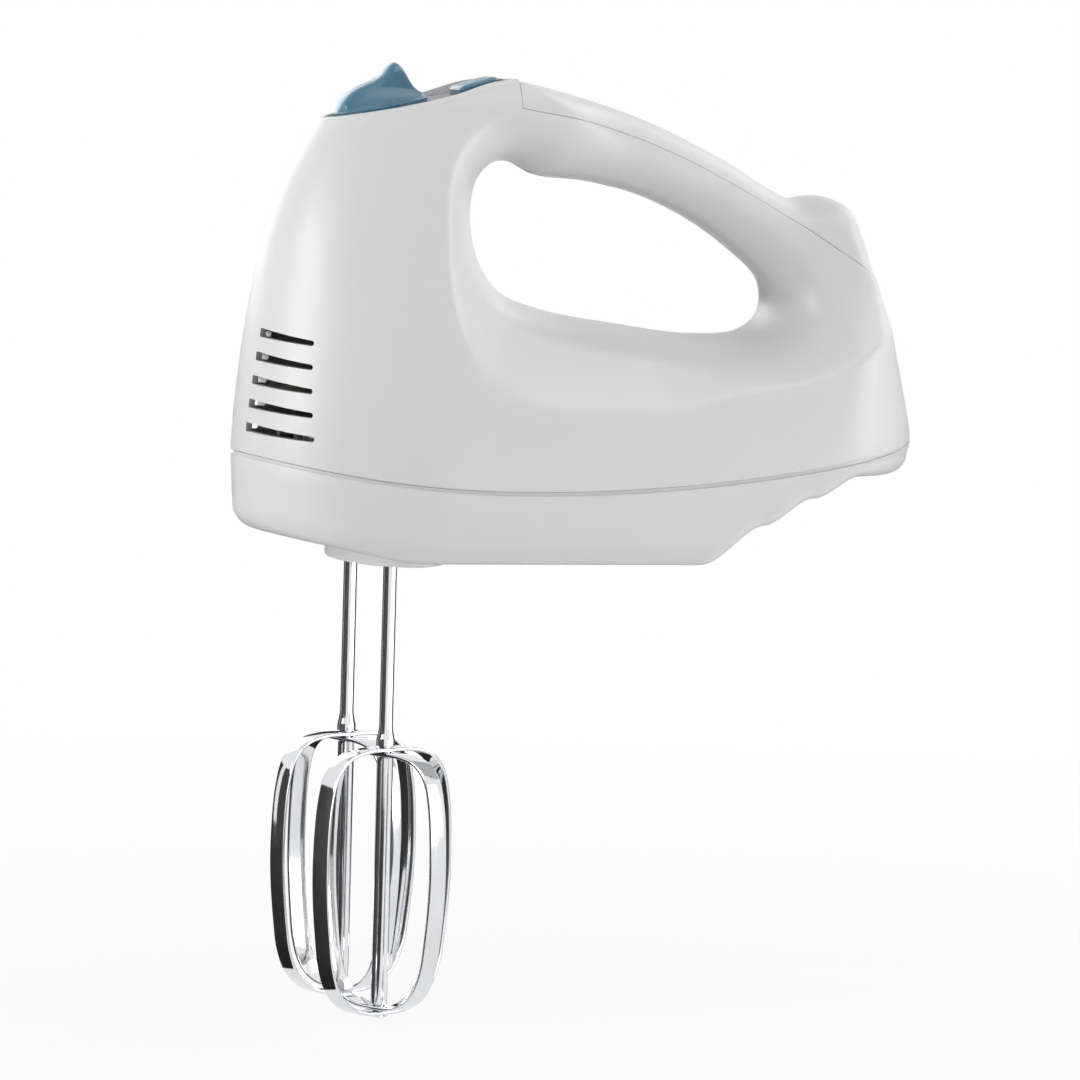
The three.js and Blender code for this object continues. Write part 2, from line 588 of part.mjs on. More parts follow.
function trayShell() {
  const skin = new Skin();
  const last = TRAY_STATIONS.length - 1;
  const grid = trayRings.map(([inset, height]) => (
    insetPlan(TRAY_STATIONS, seamWidth, inset).map(([x, y], i) => {
      const z = height(x);
      const right = skin.point(x, i === last ? 0 : y, z);
      return i === 0 || i === last ? [right, right] : [skin.point(x, -y, z), right];
    })
  ));
  for (let r = 1; r < grid.length; r += 1) {
    for (let i = 1; i <= last; i += 1) {
      const [upper, lower] = [grid[r - 1], grid[r]];
      skin.quad(upper[i - 1][0], lower[i - 1][0], lower[i][0], upper[i][0]);
      skin.quad(upper[i - 1][1], upper[i][1], lower[i][1], lower[i - 1][1]);
    }
  }
  const [inside, under] = [grid[0], grid.at(-1)];
  for (let i = 1; i <= last; i += 1) {
    skin.quad(inside[i - 1][0], inside[i][0], inside[i][1], inside[i - 1][1]);
    skin.quad(under[i - 1][1], under[i][1], under[i][0], under[i - 1][0]);
  }
  return skin.closed();
}

const rooted = (x) => trayFloor(x) - 1; // where ribs and posts start, inside the floor

const COIL_NEAR = CORE_RADIUS + AIR_GAP + RUN;
const WINDOW_FAR = COIL_NEAR + COIL + RUN;
const WINDOW_HALF = COIL_HALF + RUN;
const STATOR = [WINDOW_FAR + YOKE[0], WINDOW_HALF + YOKE[1]]; // half width and half height
const BUSH_OUTER = SPINDLE_RADIUS + RUN + BUSH[0];
const BOSS_OUTER = BUSH_OUTER + GAP + BOSS_WALL;
const BUSH_TOP = SPINDLE_FOOT + BUSH[1];
const headTop = (x) => floorZ(x) + SCREW_SINK + SCREW[2]; // of a housing screw
const screwPlaces = HOUSING_SCREWS.flatMap(([end, x, y]) => [[`${end}_left`, x, -y], [`${end}_right`, x, y]]);

function bottomHousing() {
  const disc = new THREE.CylinderGeometry(1, 1, PAD[4] - PAD[3], 40).rotateX(Math.PI / 2);
  const pad = disc.scale(PAD[1], PAD[2], 1);
  const rib = (x, half, top) => block([x - RIB / 2, x + RIB / 2], [-half, half], [rooted(x), top - GAP]);
  const stand = (x, y) => post(x, y, rooted(x), CARRIER_Z - GAP, POST_RADIUS);
  const stands = POSTS.flatMap(([x, y]) => [stand(x, -y), stand(x, y)]);
  const cradle = [CORE_X[0] + STATOR_RIB_INSET, CORE_X[1] - STATOR_RIB_INSET];
  let tray = joined(
    trayShell(),
    moved(pad, PAD[0], 0, (PAD[3] + PAD[4]) / 2),
    rib(FRONT_BEARING_X + BEARING[1] / 2, FRONT_BRACKET[0] - 2, FRONT_BRACKET[1]),
    rib(REAR_BEARING_X + BEARING[1] / 2, REAR_BRACKET[0] - 6, REAR_BRACKET[1]),
    ...cradle.map((x) => rib(x, WINDOW_FAR, MOTOR_Z - STATOR[1])),
    ...stands,
  );
  for (const y of [-BEATER_Y, BEATER_Y]) {
    tray = joined(tray, post(0, y, PAD[4] - 1, BUSH_TOP, BOSS_OUTER, 20));
    const seat = post(0, y, PAD[4], BUSH_TOP + 1, BUSH_OUTER + GAP, 20);
    tray = cut(tray, seat, post(0, y, -1, PAD[4] + 1, SOCKET, 20));
  }
  for (const [, x, y] of screwPlaces) {
    tray = joined(tray, post(x, y, rooted(x), seamZ(x) - GAP, SCREW_BOSS));
    const sink = post(x, y, 0, headTop(x) + GAP, SCREW[1] + RUN);
    tray = cut(tray, sink, post(x, y, 0, seamZ(x) + 1, SCREW[0] + RUN, 14));
  }
  return tray;
}

// ---------------------------------------------------------------- head panel, its frame and heights
const panelPlace = new THREE.Matrix4().makeRotationY(-PANEL_TILT).setPosition(DIAL_X, 0, rimZ(DIAL_X));
const tilted = (solid) => toSolid(toGeometry(solid).applyMatrix4(panelPlace));
const panelT = (x) => (x - DIAL_X) / Math.cos(PANEL_TILT);
const PANEL_SEAT = -PANEL_SINK - PANEL_PLATE - GAP;
const PANEL_UNDER = PANEL_SEAT - PANEL_FLOOR;
const ROTOR_LOW = -ROTOR_TOP - ROTOR_HEIGHT;
const SWITCH_LOW = ROTOR_LOW - GAP - SWITCH_SIZE[2];
const BOARD_TOP = SWITCH_LOW - GAP;
const BURST_MID = BURST_FROM + BURST_SIZE[0] / 2;
const FLANGE_TOP = PANEL_UNDER - RUN;
const FLANGE_LOW = FLANGE_TOP - BURST_FLANGE[1];
const BURST_SWITCH_TOP = FLANGE_LOW - BURST_SPRING[3];
const BURST_SWITCH_LOW = BURST_SWITCH_TOP - BURST_SWITCH[1];
const BURST_SWITCH_HALF = BURST_SIZE[1] / 2 + BURST_FLANGE[0] + RUN;

// The outline of the panel or of its seat, in the panel's own plane.
function panelOutline(inset, rearX) {
  const stations = [...toNose(RIM_LINE[0][0], PANEL_NOSE, 8), ...even(PANEL_NOSE, rearX, 5).slice(1)];
  const right = insetPlan(stations, rimWidth, inset, false).map(([x, y]) => [panelT(Math.min(x, rearX)), y]);
  const left = right.slice(1).map(([t, y]) => [t, -y]);
  return [...left.reverse(), ...right];
}

const panelPrism = (inset, rearX, low, high) =>
  moved(extruded(panelOutline(inset, rearX), high - low), 0, 0, low);
const burstBlock = (spare, low, high) => block(
  [BURST_FROM - spare, BURST_FROM + BURST_SIZE[0] + spare],
  [-BURST_SIZE[1] / 2 - spare, BURST_SIZE[1] / 2 + spare],
  [low, high],
);

// Everything on one side of the handle cover's seam, up or down.
function coverSide(lift, up) {
  const line = along(COVER_SEAM, COVER_COLUMNS, COVER_CROWD).map((p) => [p.x, p.z + lift]);
  const [front, rear] = [COVER_SEAM[0][0] + (up > 0 ? lift : -FAR), COVER_SEAM.at(-1)[0] + FAR];
  const ends = [[rear, line.at(-1)[1]], [rear, up * FAR], [front, up * FAR], [front, line[0][1]]];
  const region = new THREE.Shape([...line, ...ends].map(([x, z]) => new THREE.Vector2(x, z)));
  const prism = new THREE.ExtrudeGeometry(region, { depth: 2 * FAR, bevelEnabled: false });
  return toSolid(prism.rotateX(Math.PI / 2).translate(0, FAR, 0));
}

// ---------------------------------------------------------------- main housing, whole
// A vent follows the nose in plan and falls towards the rear.
function vent(index, side) {
  const z = VENT_TOP - index * VENT_PITCH;
  const depth = NOSE_DEPTH - NOSE_DEPTH_LOSS * (z - SIDE_FOOT);
  const half = halfWidth(noseX(z) + depth, z);
  const [front, rear] = [VENT_FRONT_Y, VENT_REAR_Y].map((ends) => {
    const y = lerp(...ends, index / (VENT_COUNT - 1));
    const x = noseX(z) + depth * (1 - Math.sqrt(1 - (y / half) ** 2));
    return new THREE.Vector3(x, side * y, z);
  });
  const tangent = rear.clone().sub(front);
  const length = tangent.length();
  tangent.normalize();
  const tail = span(2).map((f) => {
    const angle = Math.PI * (f - 0.5);
    return [length + (VENT_TAIL / 2) * Math.cos(angle), -VENT_DROP + (VENT_TAIL / 2) * Math.sin(angle)];
  });
  const reach = 16;
  const shape = [[0, VENT_HEIGHT / 2], [0, -VENT_HEIGHT / 2], ...tail];
  const slot = extruded(shape, reach).translate(0, 0, -reach / 2);
  const up = new THREE.Vector3(0, 0, 1);
  const basis = new THREE.Matrix4().makeBasis(tangent, up, tangent.clone().cross(up)).setPosition(front);
  return toSolid(slot.applyMatrix4(basis));
}

const openingTop = (x) => read(openingSamples.slice(0, 80), "x", x, "z");
const coverTopZ = (x) => read(sampled(COVER_TOP), "x", x, "z");
const coverHeadTop = (x) => openingTop(x) + SCREW_SINK + SCREW[2];

function mainHousing() {
  const [boardY, boardRadius] = BOARD_POST;
  const boardPost = (side) => post(0, side * boardY, BOARD_TOP + GAP, PANEL_SEAT - 1, boardRadius, 12);
  const burstY = BURST_SWITCH_HALF + GAP + BURST_POST;
  const burstPost = (side) => post(BURST_MID, side * burstY, BURST_SWITCH_LOW, PANEL_SEAT - 1, BURST_POST, 12);
  let housing = joined(
    mainSkin().thicken(WALL),
    rodX(GLAND_SEAT[0], GLAND_SEAT[1], 0, GLAND_Z, GLAND_SEAT[2]),
    tilted(panelPrism(PANEL_INSET - WALL, PANEL_END + GAP, PANEL_UNDER, PANEL_SEAT + 1)),
    ...[LEFT, RIGHT].flatMap((side) => [tilted(boardPost(side)), tilted(burstPost(side))]),
  );
  for (const [, x, y] of screwPlaces) {
    const [low, high] = [seamZ(x) + GAP, seamZ(x) + SCREW_GRIP + SCREW_END];
    const reach = [y, Math.sign(y) * (seamWidth(x) - WALL / 2)].sort((a, b) => a - b);
    const gusset = block([x - RIB / 2, x + RIB / 2], reach, [seamZ(x) + LIP_RISE + 2 * GAP, high]);
    housing = joined(housing, post(x, y, low, high, SCREW_BOSS), gusset);
    housing = cut(housing, post(x, y, low - 3, low + SCREW_GRIP + 1, SCREW[0] + GAP, 14));
  }
  for (const [, x] of COVER_SCREWS) {
    const low = openingTop(x);
    housing = joined(housing, post(x, 0, low + 0.8 * WALL, low + COVER_BOSS, SCREW[1] + 2));
    housing = cut(
      housing,
      post(x, 0, low - 4, coverHeadTop(x) + GAP, SCREW[1] + RUN),
      post(x, 0, low - 4, low + COVER_BOSS + 1, SCREW[0] + RUN, 14),
    );
  }
  housing = cut(
    housing,
    coverSide(-TRIM, 1),
    tilted(panelPrism(PANEL_INSET, PANEL_END, PANEL_SEAT, 12)),
    tilted(post(0, 0, PANEL_UNDER - 6, 2, DIAL_WELL, 32)),
    tilted(burstBlock(RUN, PANEL_UNDER - 4, 2)),
    rodX(GLAND_X[0] - 2, GLAND_X[2], 0, GLAND_Z, GLAND[0] + GAP),
    rodX(GLAND_X[1] - GAP, GLAND_X[2] + 9, 0, GLAND_Z, GLAND[2] + GAP),
  );
  for (let i = 0; i < VENT_COUNT; i += 1) housing = cut(housing, vent(i, LEFT), vent(i, RIGHT));
  return housing;
}

// ---------------------------------------------------------------- handle cover
function coverSkin() {
  const skin = new Skin();
  const count = COVER_COLUMNS;
  const seam = along(COVER_SEAM, count, COVER_CROWD);
  const top = along(COVER_TOP, count, COVER_CROWD);
  const rows = span(6).map((f) => Math.sin((Math.PI / 2) * f));
  const grid = seam.map((low, i) => {
    if (i === count) {
      const only = skin.point(low.x, 0, low.z, true);
      return rows.map(() => [only, only]);
    }
    return rows.map((s) => {
      const x = lerp(low.x, top[i].x, s);
      const z = lerp(low.z, top[i].z, s);
      if (s === 1) {
        const only = skin.point(x, 0, z);
        return [only, only];
      }
      const y = halfWidth(x, z);
      return [skin.point(x, -y, z, s === 0), skin.point(x, y, z, s === 0)];
    });
  });
  for (let i = 1; i <= count; i += 1) {
    for (let j = 1; j < rows.length; j += 1) {
      const [a, b, c, d] = [grid[i - 1][j - 1], grid[i][j - 1], grid[i][j], grid[i - 1][j]];
      skin.quad(a[0], b[0], c[0], d[0]);
      skin.quad(a[1], d[1], c[1], b[1]);
    }
  }
  return skin;
}

function handleCover() {
  let cover = cut(
    coverSkin().thicken(WALL),
    coverSide(GAP - TRIM, -1),
    block([-FAR, COVER_SEAM[0][0] + GAP - TRIM], [-FAR, FAR], [-FAR, FAR]),
  );
  for (const [, x] of COVER_SCREWS) {
    const low = openingTop(x) + COVER_BOSS + GAP;
    cover = joined(cover, post(x, 0, low, coverTopZ(x) - WALL / 2, COVER_POST));
    cover = cut(cover, post(x, 0, low - 1, low + COVER_SCREW_GRIP + 1, SCREW[0] + GAP, 14));
  }
  return cover;
}

// ---------------------------------------------------------------- dial, switch, button (panel's frame)
function controlPanel() {
  const plate = panelPrism(PANEL_INSET + GAP, PANEL_END - GAP, -PANEL_SINK - PANEL_PLATE, -PANEL_SINK);
  return cut(plate, post(0, 0, -9, 9, DIAL_WELL, 32), burstBlock(RUN, -9, 9));
}

function speedDial() {
  const profile = [
    [0, -DIAL_SKIRT], [DIAL_RADIUS, -DIAL_SKIRT], [DIAL_RADIUS, 0.5], [DIAL_RADIUS - 0.6, 1.4],
    [DIAL_RADIUS * 0.72, 0.8 * DIAL_DOME], [DIAL_RADIUS * 0.36, DIAL_DOME], [0, DIAL_DOME],
  ].map(([r, h]) => new THREE.Vector2(r, h));
  const cap = toSolid(new THREE.LatheGeometry(profile, 32).rotateX(Math.PI / 2));
  const outlineFin = [...FIN_LINE, [FIN_LINE.at(-1)[0], 0], [FIN_LINE[0][0], 0]].reverse();
  const fin = extruded(outlineFin, 2 * FIN_HALF).rotateX(Math.PI / 2).translate(0, FIN_HALF, 0);
  return joined(
    cap,
    toSolid(fin),
    post(0, 0, -STEM_LENGTH, 0, STEM_RADIUS),
    block([-STEM_KEY[0], STEM_KEY[0]], [-STEM_KEY[1] / 2, STEM_KEY[1] / 2], [-STEM_KEY[3], -STEM_KEY[2]]),
  );
}

function switchRotor() {
  const [reach, across] = [STEM_KEY[0] + RUN, STEM_KEY[1] / 2 + RUN];
  const key = block([-reach, reach], [-across, across], [-FAR, 0]);
  return cut(post(0, 0, ROTOR_LOW, -ROTOR_TOP, ROTOR_RADIUS, 32), post(0, 0, -FAR, 0, STEM_RADIUS + RUN), key);
}

function speedSwitch() {
  const [length, width] = SWITCH_SIZE;
  const body = block([-length / 2, length / 2], [-width / 2, width / 2], [SWITCH_LOW, ROTOR_LOW - GAP]);
  return cut(body, post(0, 0, -FAR, 0, STEM_KEY[0] + 2 * RUN));
}

function circuitBoard() {
  const [length, width, plate] = BOARD_SIZE;
  const reach = [BOARD_MID - length / 2, BOARD_MID + length / 2];
  const body = block(reach, [-width / 2, width / 2], [BOARD_TOP - plate, BOARD_TOP]);
  return cut(body, post(0, 0, -FAR, 0, STEM_RADIUS + RUN));
}

function burstButton() {
  return joined(
    burstBlock(0, FLANGE_TOP - 0.5, BURST_PROUD - PANEL_SINK),
    burstBlock(BURST_FLANGE[0], FLANGE_LOW, FLANGE_TOP),
    post(BURST_MID, 0, FLANGE_LOW - BURST_STEM[1], FLANGE_TOP, BURST_STEM[0], 12),
  );
}

function burstSwitch() {
  const body = block(
    [BURST_MID - BURST_SWITCH[0] / 2, BURST_MID + BURST_SWITCH[0] / 2],
    [-BURST_SWITCH_HALF, BURST_SWITCH_HALF],
    [BURST_SWITCH_LOW, BURST_SWITCH_TOP],
  );
  const reach = FLANGE_LOW - BURST_STEM[1] - BURST_TRAVEL - RUN;
  return cut(body, post(BURST_MID, 0, reach, 0, BURST_STEM[0] + RUN, 12));
}

// ---------------------------------------------------------------- ejector
const FORK_TOP = rimZ(DIAL_X) - STEM_LENGTH * Math.cos(PANEL_TILT) - STEM_RADIUS * Math.sin(PANEL_TILT) - GAP;

function ejectFork() {
  const fork = joined(
    block(YOKE_X, [-YOKE_HALF, YOKE_HALF], [YOKE_Z, YOKE_Z + YOKE_PLATE]),
    post(FORK_X, 0, YOKE_Z, FORK_TOP, FORK_RADIUS),
  );
  const boreTop = GUIDE_TOP + EJECT_TRAVEL + FORK_BORE_SPARE;
  return cut(fork, post(FORK_X, 0, YOKE_Z - 1, boreTop, GUIDE_RADIUS + RUN));
}

const ejectPin = (y) => joined(
  post(0, y, BEATER_TOP + GAP, YOKE_Z - GAP, PIN_RADIUS, 16),
  post(0, y, YOKE_Z - GAP - PIN_HEAD[1], YOKE_Z - GAP, PIN_HEAD[0]),
);

// ---------------------------------------------------------------- gear train
const GEAR_LOW = MOTOR_Z - GEAR_FACE / 2;
const WASHER_LOW = BUSH_TOP + GAP;
const HUB_LOW = WASHER_LOW + WASHER[1] + GAP;
const HELIX = THREAD_STEP / (2 * Math.PI * WORM_PITCH); // slope of the thread at its pitch line

// Straight-flanked teeth, turned so that the wheel meshes with the worm thread beside it.
function gearOutline(gapTowards) {
  const rows = [[-DEDENDUM, 1], [ADDENDUM, 1], [ADDENDUM, -1], [-DEDENDUM, -1]].reverse();
  return span(GEAR_TEETH).slice(1).flatMap((f) => rows.map(([depth, side]) => {
    const radius = GEAR_PITCH + depth;
    const half = TOOTH_HALF - depth * PRESSURE_SLOPE;
    const angle = gapTowards + (2 * Math.PI * (f * GEAR_TEETH + 0.5)) / GEAR_TEETH + (side * half) / radius;
    return [radius * Math.cos(angle), radius * Math.sin(angle)];
  }));
}

function driveGear(side) {
  const facing = -side * (Math.PI / 2);
  const phase = side === RIGHT ? facing : facing + Math.PI / GEAR_TEETH;
  const wheel = new THREE.ExtrudeGeometry(
    new THREE.Shape(gearOutline(phase).map(([x, y]) => new THREE.Vector2(x, y))),
    { depth: GEAR_FACE, steps: 1, bevelEnabled: false },
  ).translate(0, 0, -GEAR_FACE / 2);
  const place = wheel.attributes.position;
  for (let i = 0; i < place.count; i += 1) {
    const twist = (HELIX * place.getZ(i)) / GEAR_PITCH;
    const [x, y] = [place.getX(i), place.getY(i)];
    place.setXY(i, x * Math.cos(twist) - y * Math.sin(twist), x * Math.sin(twist) + y * Math.cos(twist));
  }
  const y = side * BEATER_Y;
  return cut(
    moved(wheel, 0, y, MOTOR_Z).add(post(0, y, HUB_LOW, CARRIER_Z - GAP, HUB_RADIUS, 20)),
    post(0, y, 0, FAR, SPINDLE_RADIUS + GAP, 20),
  );
}

const keySlot = (y, turn, reach, width, low, high) =>
  toSolid(new THREE.BoxGeometry(2 * reach, width, high - low).rotateZ(turn).translate(0, y, (low + high) / 2));

const spindle = (y, turn) => cut(
  post(0, y, SPINDLE_FOOT, SPINDLE_TOP, SPINDLE_RADIUS, 20),
  post(0, y, 0, FAR, SPINDLE_BORE),
  keySlot(y, turn, KEY_RADIUS + RUN, KEY_WIDTH + 2 * RUN, 0, FAR),
);

function gearCarrier() {
  const side = [...CARRIER_LINE, ...[...CARRIER_LINE].reverse().map(([x, y]) => [x, -y])].reverse();
  const plate = moved(extruded(side, CARRIER_PLATE), 0, 0, CARRIER_Z);
  const guided = plate.add(post(FORK_X, 0, CARRIER_Z, GUIDE_TOP, GUIDE_RADIUS, 16));
  return cut(guided, ...[-BEATER_Y, BEATER_Y].map((y) => post(0, y, 0, FAR, SPINDLE_RADIUS + RUN, 20)));
}

// ---------------------------------------------------------------- armature
function armatureShaft() {
  const turns = WORM_LENGTH / THREAD_STEP;
  const steps = Math.round(turns * 9);
  const rows = [[-DEDENDUM, 1], [-DEDENDUM, -1], [ADDENDUM, -1], [ADDENDUM, 1]];
  const skin = new Skin();
  const rings = span(steps).map((f) => {
    const angle = 2 * Math.PI * turns * (f - 0.5);
    return rows.map(([depth, side]) => {
      const radius = WORM_PITCH + depth;
      const half = TOOTH_HALF - depth * PRESSURE_SLOPE;
      const x = (THREAD_STEP * angle) / (2 * Math.PI) + side * half;
      return skin.point(x, radius * Math.cos(angle), MOTOR_Z + radius * Math.sin(angle));
    });
  });
  for (let i = 1; i < rings.length; i += 1) {
    rows.forEach((_, k) => {
      const n = (k + 1) % rows.length;
      skin.quad(rings[i - 1][k], rings[i][k], rings[i][n], rings[i - 1][n]);
    });
  }
  skin.quad(...rings[0]);
  skin.quad(...[...rings.at(-1)].reverse());
  return joined(rodX(...SHAFT_X, 0, MOTOR_Z, SHAFT_RADIUS, 24), skin.closed());
}

const ring = (from, to, outer, inner, sides = 20) =>
  cut(rodX(from, to, 0, MOTOR_Z, outer, sides), rodX(from - 1, to + 1, 0, MOTOR_Z, inner, sides));
const SHAFT_SEAT = SHAFT_RADIUS + GAP;

function armatureCore() {
  const slotHalf = 1.3;
  const teeth = span(CORE_SLOTS).slice(1).flatMap((f) => {
    const mid = 2 * Math.PI * f;
    const reach = slotHalf / CORE_RADIUS;
    const next = mid + (2 * Math.PI) / CORE_SLOTS;
    return [[CORE_RADIUS, mid + reach], [CORE_RADIUS, (mid + next) / 2], [CORE_RADIUS, next - reach],
      [CORE_RADIUS * 0.6, next - reach / 0.6], [CORE_RADIUS * 0.6, next + reach / 0.6]];
  }).map(([r, angle]) => [r * Math.cos(angle), r * Math.sin(angle)]);
  const core = extruded(teeth, CORE_X[1] - CORE_X[0]).rotateY(Math.PI / 2);
  return cut(moved(core, CORE_X[0], 0, MOTOR_Z), rodX(-FAR, FAR, 0, MOTOR_Z, SHAFT_SEAT));
}

function coolingFan() {
  const [radius, length, blades] = FAN;
  const plate = ring(FAN_X, FAN_X + FAN_HUB[1], radius, SHAFT_SEAT, 27);
  const hub = ring(FAN_X, FAN_X + length, FAN_HUB[0], SHAFT_SEAT);
  const blade = (f) => toSolid(
    new THREE.BoxGeometry(length, FAN_HUB[2], radius - FAN_HUB[0] + 1)
      .translate(FAN_X + length / 2, 0, (radius + FAN_HUB[0] - 1) / 2 - 0.3)
      .rotateX(2 * Math.PI * f)
      .translate(0, 0, MOTOR_Z),
  );
  return joined(plate, hub, ...span(blades).slice(1).map(blade));
}

// ---------------------------------------------------------------- field, brackets and brushes
function statorCore() {
  const [half, tall] = STATOR;
  const windows = [LEFT, RIGHT].flatMap((side) => [LEFT, RIGHT].map((up) => block(
    [-FAR, FAR],
    side < 0 ? [-WINDOW_FAR, -WINDOW_NEAR] : [WINDOW_NEAR, WINDOW_FAR],
    up < 0 ? [MOTOR_Z - WINDOW_HALF, MOTOR_Z - POLE_HALF] : [MOTOR_Z + POLE_HALF, MOTOR_Z + WINDOW_HALF],
  )));
  return cut(
    block(CORE_X, [-half, half], [MOTOR_Z - tall, MOTOR_Z + tall]),
    rodX(-FAR, FAR, 0, MOTOR_Z, CORE_RADIUS + AIR_GAP, 36),
    ...windows,
  );
}

function fieldCoil(side) {
  const y = side < 0 ? [-COIL_NEAR - COIL, -COIL_NEAR] : [COIL_NEAR, COIL_NEAR + COIL];
  const innerHalf = POLE_HALF + RUN;
  return cut(
    block([CORE_X[0] - COIL_END, CORE_X[1] + COIL_END], y, [MOTOR_Z - COIL_HALF, MOTOR_Z + COIL_HALF]),
    block([CORE_X[0] - GAP, CORE_X[1] + GAP], [-FAR, FAR], [MOTOR_Z - innerHalf, MOTOR_Z + innerHalf]),
  );
}

const bracketX = (bearingX) => [bearingX - BRACKET_RIM, bearingX + BEARING[1] + BRACKET_RIM];

function frontBracket() {
  const [half, low] = FRONT_BRACKET;
  const plate = block(bracketX(FRONT_BEARING_X), [-half, half], [low, CARRIER_Z - GAP]);
  return cut(plate, rodX(-FAR, FAR, 0, MOTOR_Z, BEARING[0] + GAP));
}

const BRUSH_MID = COMMUTATOR_X + COMMUTATOR[1] / 2;
const HOLDER_HALF = [BRUSH[0] / 2 + GAP + HOLDER[0], BRUSH[1] / 2 + GAP + HOLDER[0]];
const HOLDER_FROM = COMMUTATOR[0] + 1.5;

function rearBracket() {
  const [half, low, high] = REAR_BRACKET;
  const [from, to] = bracketX(REAR_BEARING_X);
  const arm = (side) => {
    const reach = [side * HOLDER_FROM, side * (half - 1)].sort((a, b) => a - b);
    const [low, high] = [MOTOR_Z - HOLDER_HALF[1], MOTOR_Z + HOLDER_HALF[1]];
    return block([BRUSH_MID + HOLDER_HALF[0] + GAP, from + 1], reach, [low, high]);
  };
  return cut(
    joined(block([from, to], [-half, half], [low, high]), arm(LEFT), arm(RIGHT)),
    rodX(-FAR, FAR, 0, MOTOR_Z, BEARING[0] + GAP),
  );
}

function brush(side) {
  const y = [side * (COMMUTATOR[0] + GAP), side * (COMMUTATOR[0] + GAP + BRUSH[2])].sort((a, b) => a - b);
  const [half, rise] = [BRUSH[0] / 2, BRUSH[1] / 2];
  return block([BRUSH_MID - half, BRUSH_MID + half], y, [MOTOR_Z - rise, MOTOR_Z + rise]);
}

function brushHolder(side) {
  const y = [side * HOLDER_FROM, side * (HOLDER_FROM + HOLDER[1])].sort((a, b) => a - b);
  const [length, height] = HOLDER_HALF;
  const box = (wall, ends) => block(
    [BRUSH_MID - length + wall, BRUSH_MID + length - wall],
    ends,
    [MOTOR_Z - height + wall, MOTOR_Z + height - wall],
  );
  return cut(box(0, y), box(HOLDER[0], [-FAR, FAR]));
}

// ---------------------------------------------------------------- beaters
// One side of a strip's outline, moved inwards, from the top of the cage to its tip.
function cageSide(inset) {
  const line = curve([[0, 0], ...CAGE_LINE, [0, CAGE_TIP - CAGE_TOP]]);
  const side = span(22).slice(1, -1).map((f) => {
    const at = line.getPointAt(f);
    const run = line.getTangentAt(f);
    return [at.x + run.z * inset, CAGE_TOP + at.z - run.x * inset];
  });
  return side.filter(([r]) => r > STRIP);
}

function hoop(inset, y, turn) {
  const loop = (depth) => {
    const side = cageSide(depth);
    const back = side.map(([r, z]) => [-r, z]).reverse();
    return [[0, CAGE_TOP - depth], ...side, [0, CAGE_TIP + depth], ...back].reverse();
  };
  const strip = extruded(loop(inset), STRIP_WIDTH, [loop(inset + STRIP)]);
  strip.translate(0, 0, -STRIP_WIDTH / 2).rotateX(Math.PI / 2).rotateZ(turn);
  return cut(moved(strip, 0, y, 0), post(0, y, CAGE_TIP - 9, CAGE_TOP + 9, RIVET[0] + GAP, 16));
}

function beaterShaft(y, turn) {
  const stack = 2 * STRIP + 3 * GAP; // two strips and the gaps round them
  const [shoulder, rise, taper] = SHOULDER;
  const [neck, head, headHeight] = RIVET;
  const profile = [
    [0, BEATER_TOP], [BEATER_SHAFT - 0.5, BEATER_TOP], [BEATER_SHAFT, BEATER_TOP - 1],
    [BEATER_SHAFT, CAGE_TOP + taper], [shoulder, CAGE_TOP + rise], [shoulder, CAGE_TOP + GAP],
    [neck, CAGE_TOP + GAP], [neck, CAGE_TOP - stack + GAP], [BEATER_POST, CAGE_TOP - stack + GAP],
    [BEATER_POST, CAGE_TIP + stack - GAP], [neck, CAGE_TIP + stack - GAP], [neck, CAGE_TIP - GAP],
    [head, CAGE_TIP - GAP], [head - 0.6, CAGE_TIP - GAP - headHeight], [0, CAGE_TIP - GAP - headHeight],
  ].map(([r, z]) => new THREE.Vector2(r, z)).reverse();
  const shaft = new THREE.LatheGeometry(profile, 20).rotateX(Math.PI / 2);
  return moved(shaft, 0, y, 0).add(keySlot(y, turn, KEY_RADIUS, KEY_WIDTH, ...KEY_Z));
}

// ---------------------------------------------------------------- fasteners and cord inlet
const screw = (x, y, headLow, end) => joined(
  post(x, y, headLow, headLow + SCREW[2], SCREW[1], 18),
  post(x, y, headLow, end, SCREW[0], 12),
);

function cordGland() {
  const [outer, bore, flange] = GLAND;
  const body = joined(
    rodX(GLAND_X[0], GLAND_X[2], 0, GLAND_Z, outer),
    rodX(GLAND_X[1], GLAND_X[2], 0, GLAND_Z, flange),
  );
  return cut(body, rodX(-FAR, FAR, 0, GLAND_Z, bore));
}

// ---------------------------------------------------------------- the assembly
const housingFrame = new THREE.Group();
const panelFrame = new THREE.Group();
panelFrame.position.set(DIAL_X, 0, rimZ(DIAL_X));
panelFrame.rotation.y = -PANEL_TILT;
housingFrame.add(panelFrame);

function piece(name, solid, material, group = housingFrame) {
  const mesh = new THREE.Mesh(toGeometry(solid), material);
  mesh.name = name;
  group.add(mesh);
}

piece("main_housing", mainHousing(), WHITE);
piece("bottom_housing", bottomHousing(), WHITE);
piece("handle_cover", handleCover(), WHITE);
piece("cord_gland", cordGland(), WHITE);

piece("control_panel", controlPanel(), GREY, panelFrame);
piece("speed_dial", speedDial(), BLUE, panelFrame);
piece("switch_rotor", switchRotor(), NYLON, panelFrame);
piece("speed_switch", speedSwitch(), BLACK, panelFrame);
piece("circuit_board", circuitBoard(), BOARD, panelFrame);
piece("burst_button", burstButton(), BLUE, panelFrame);
const burstSpring = spring(BURST_MID, 0, BURST_SWITCH_TOP + GAP, FLANGE_LOW - GAP, BURST_SPRING);
piece("burst_spring", burstSpring, STEEL, panelFrame);
piece("burst_switch", burstSwitch(), BLACK, panelFrame);

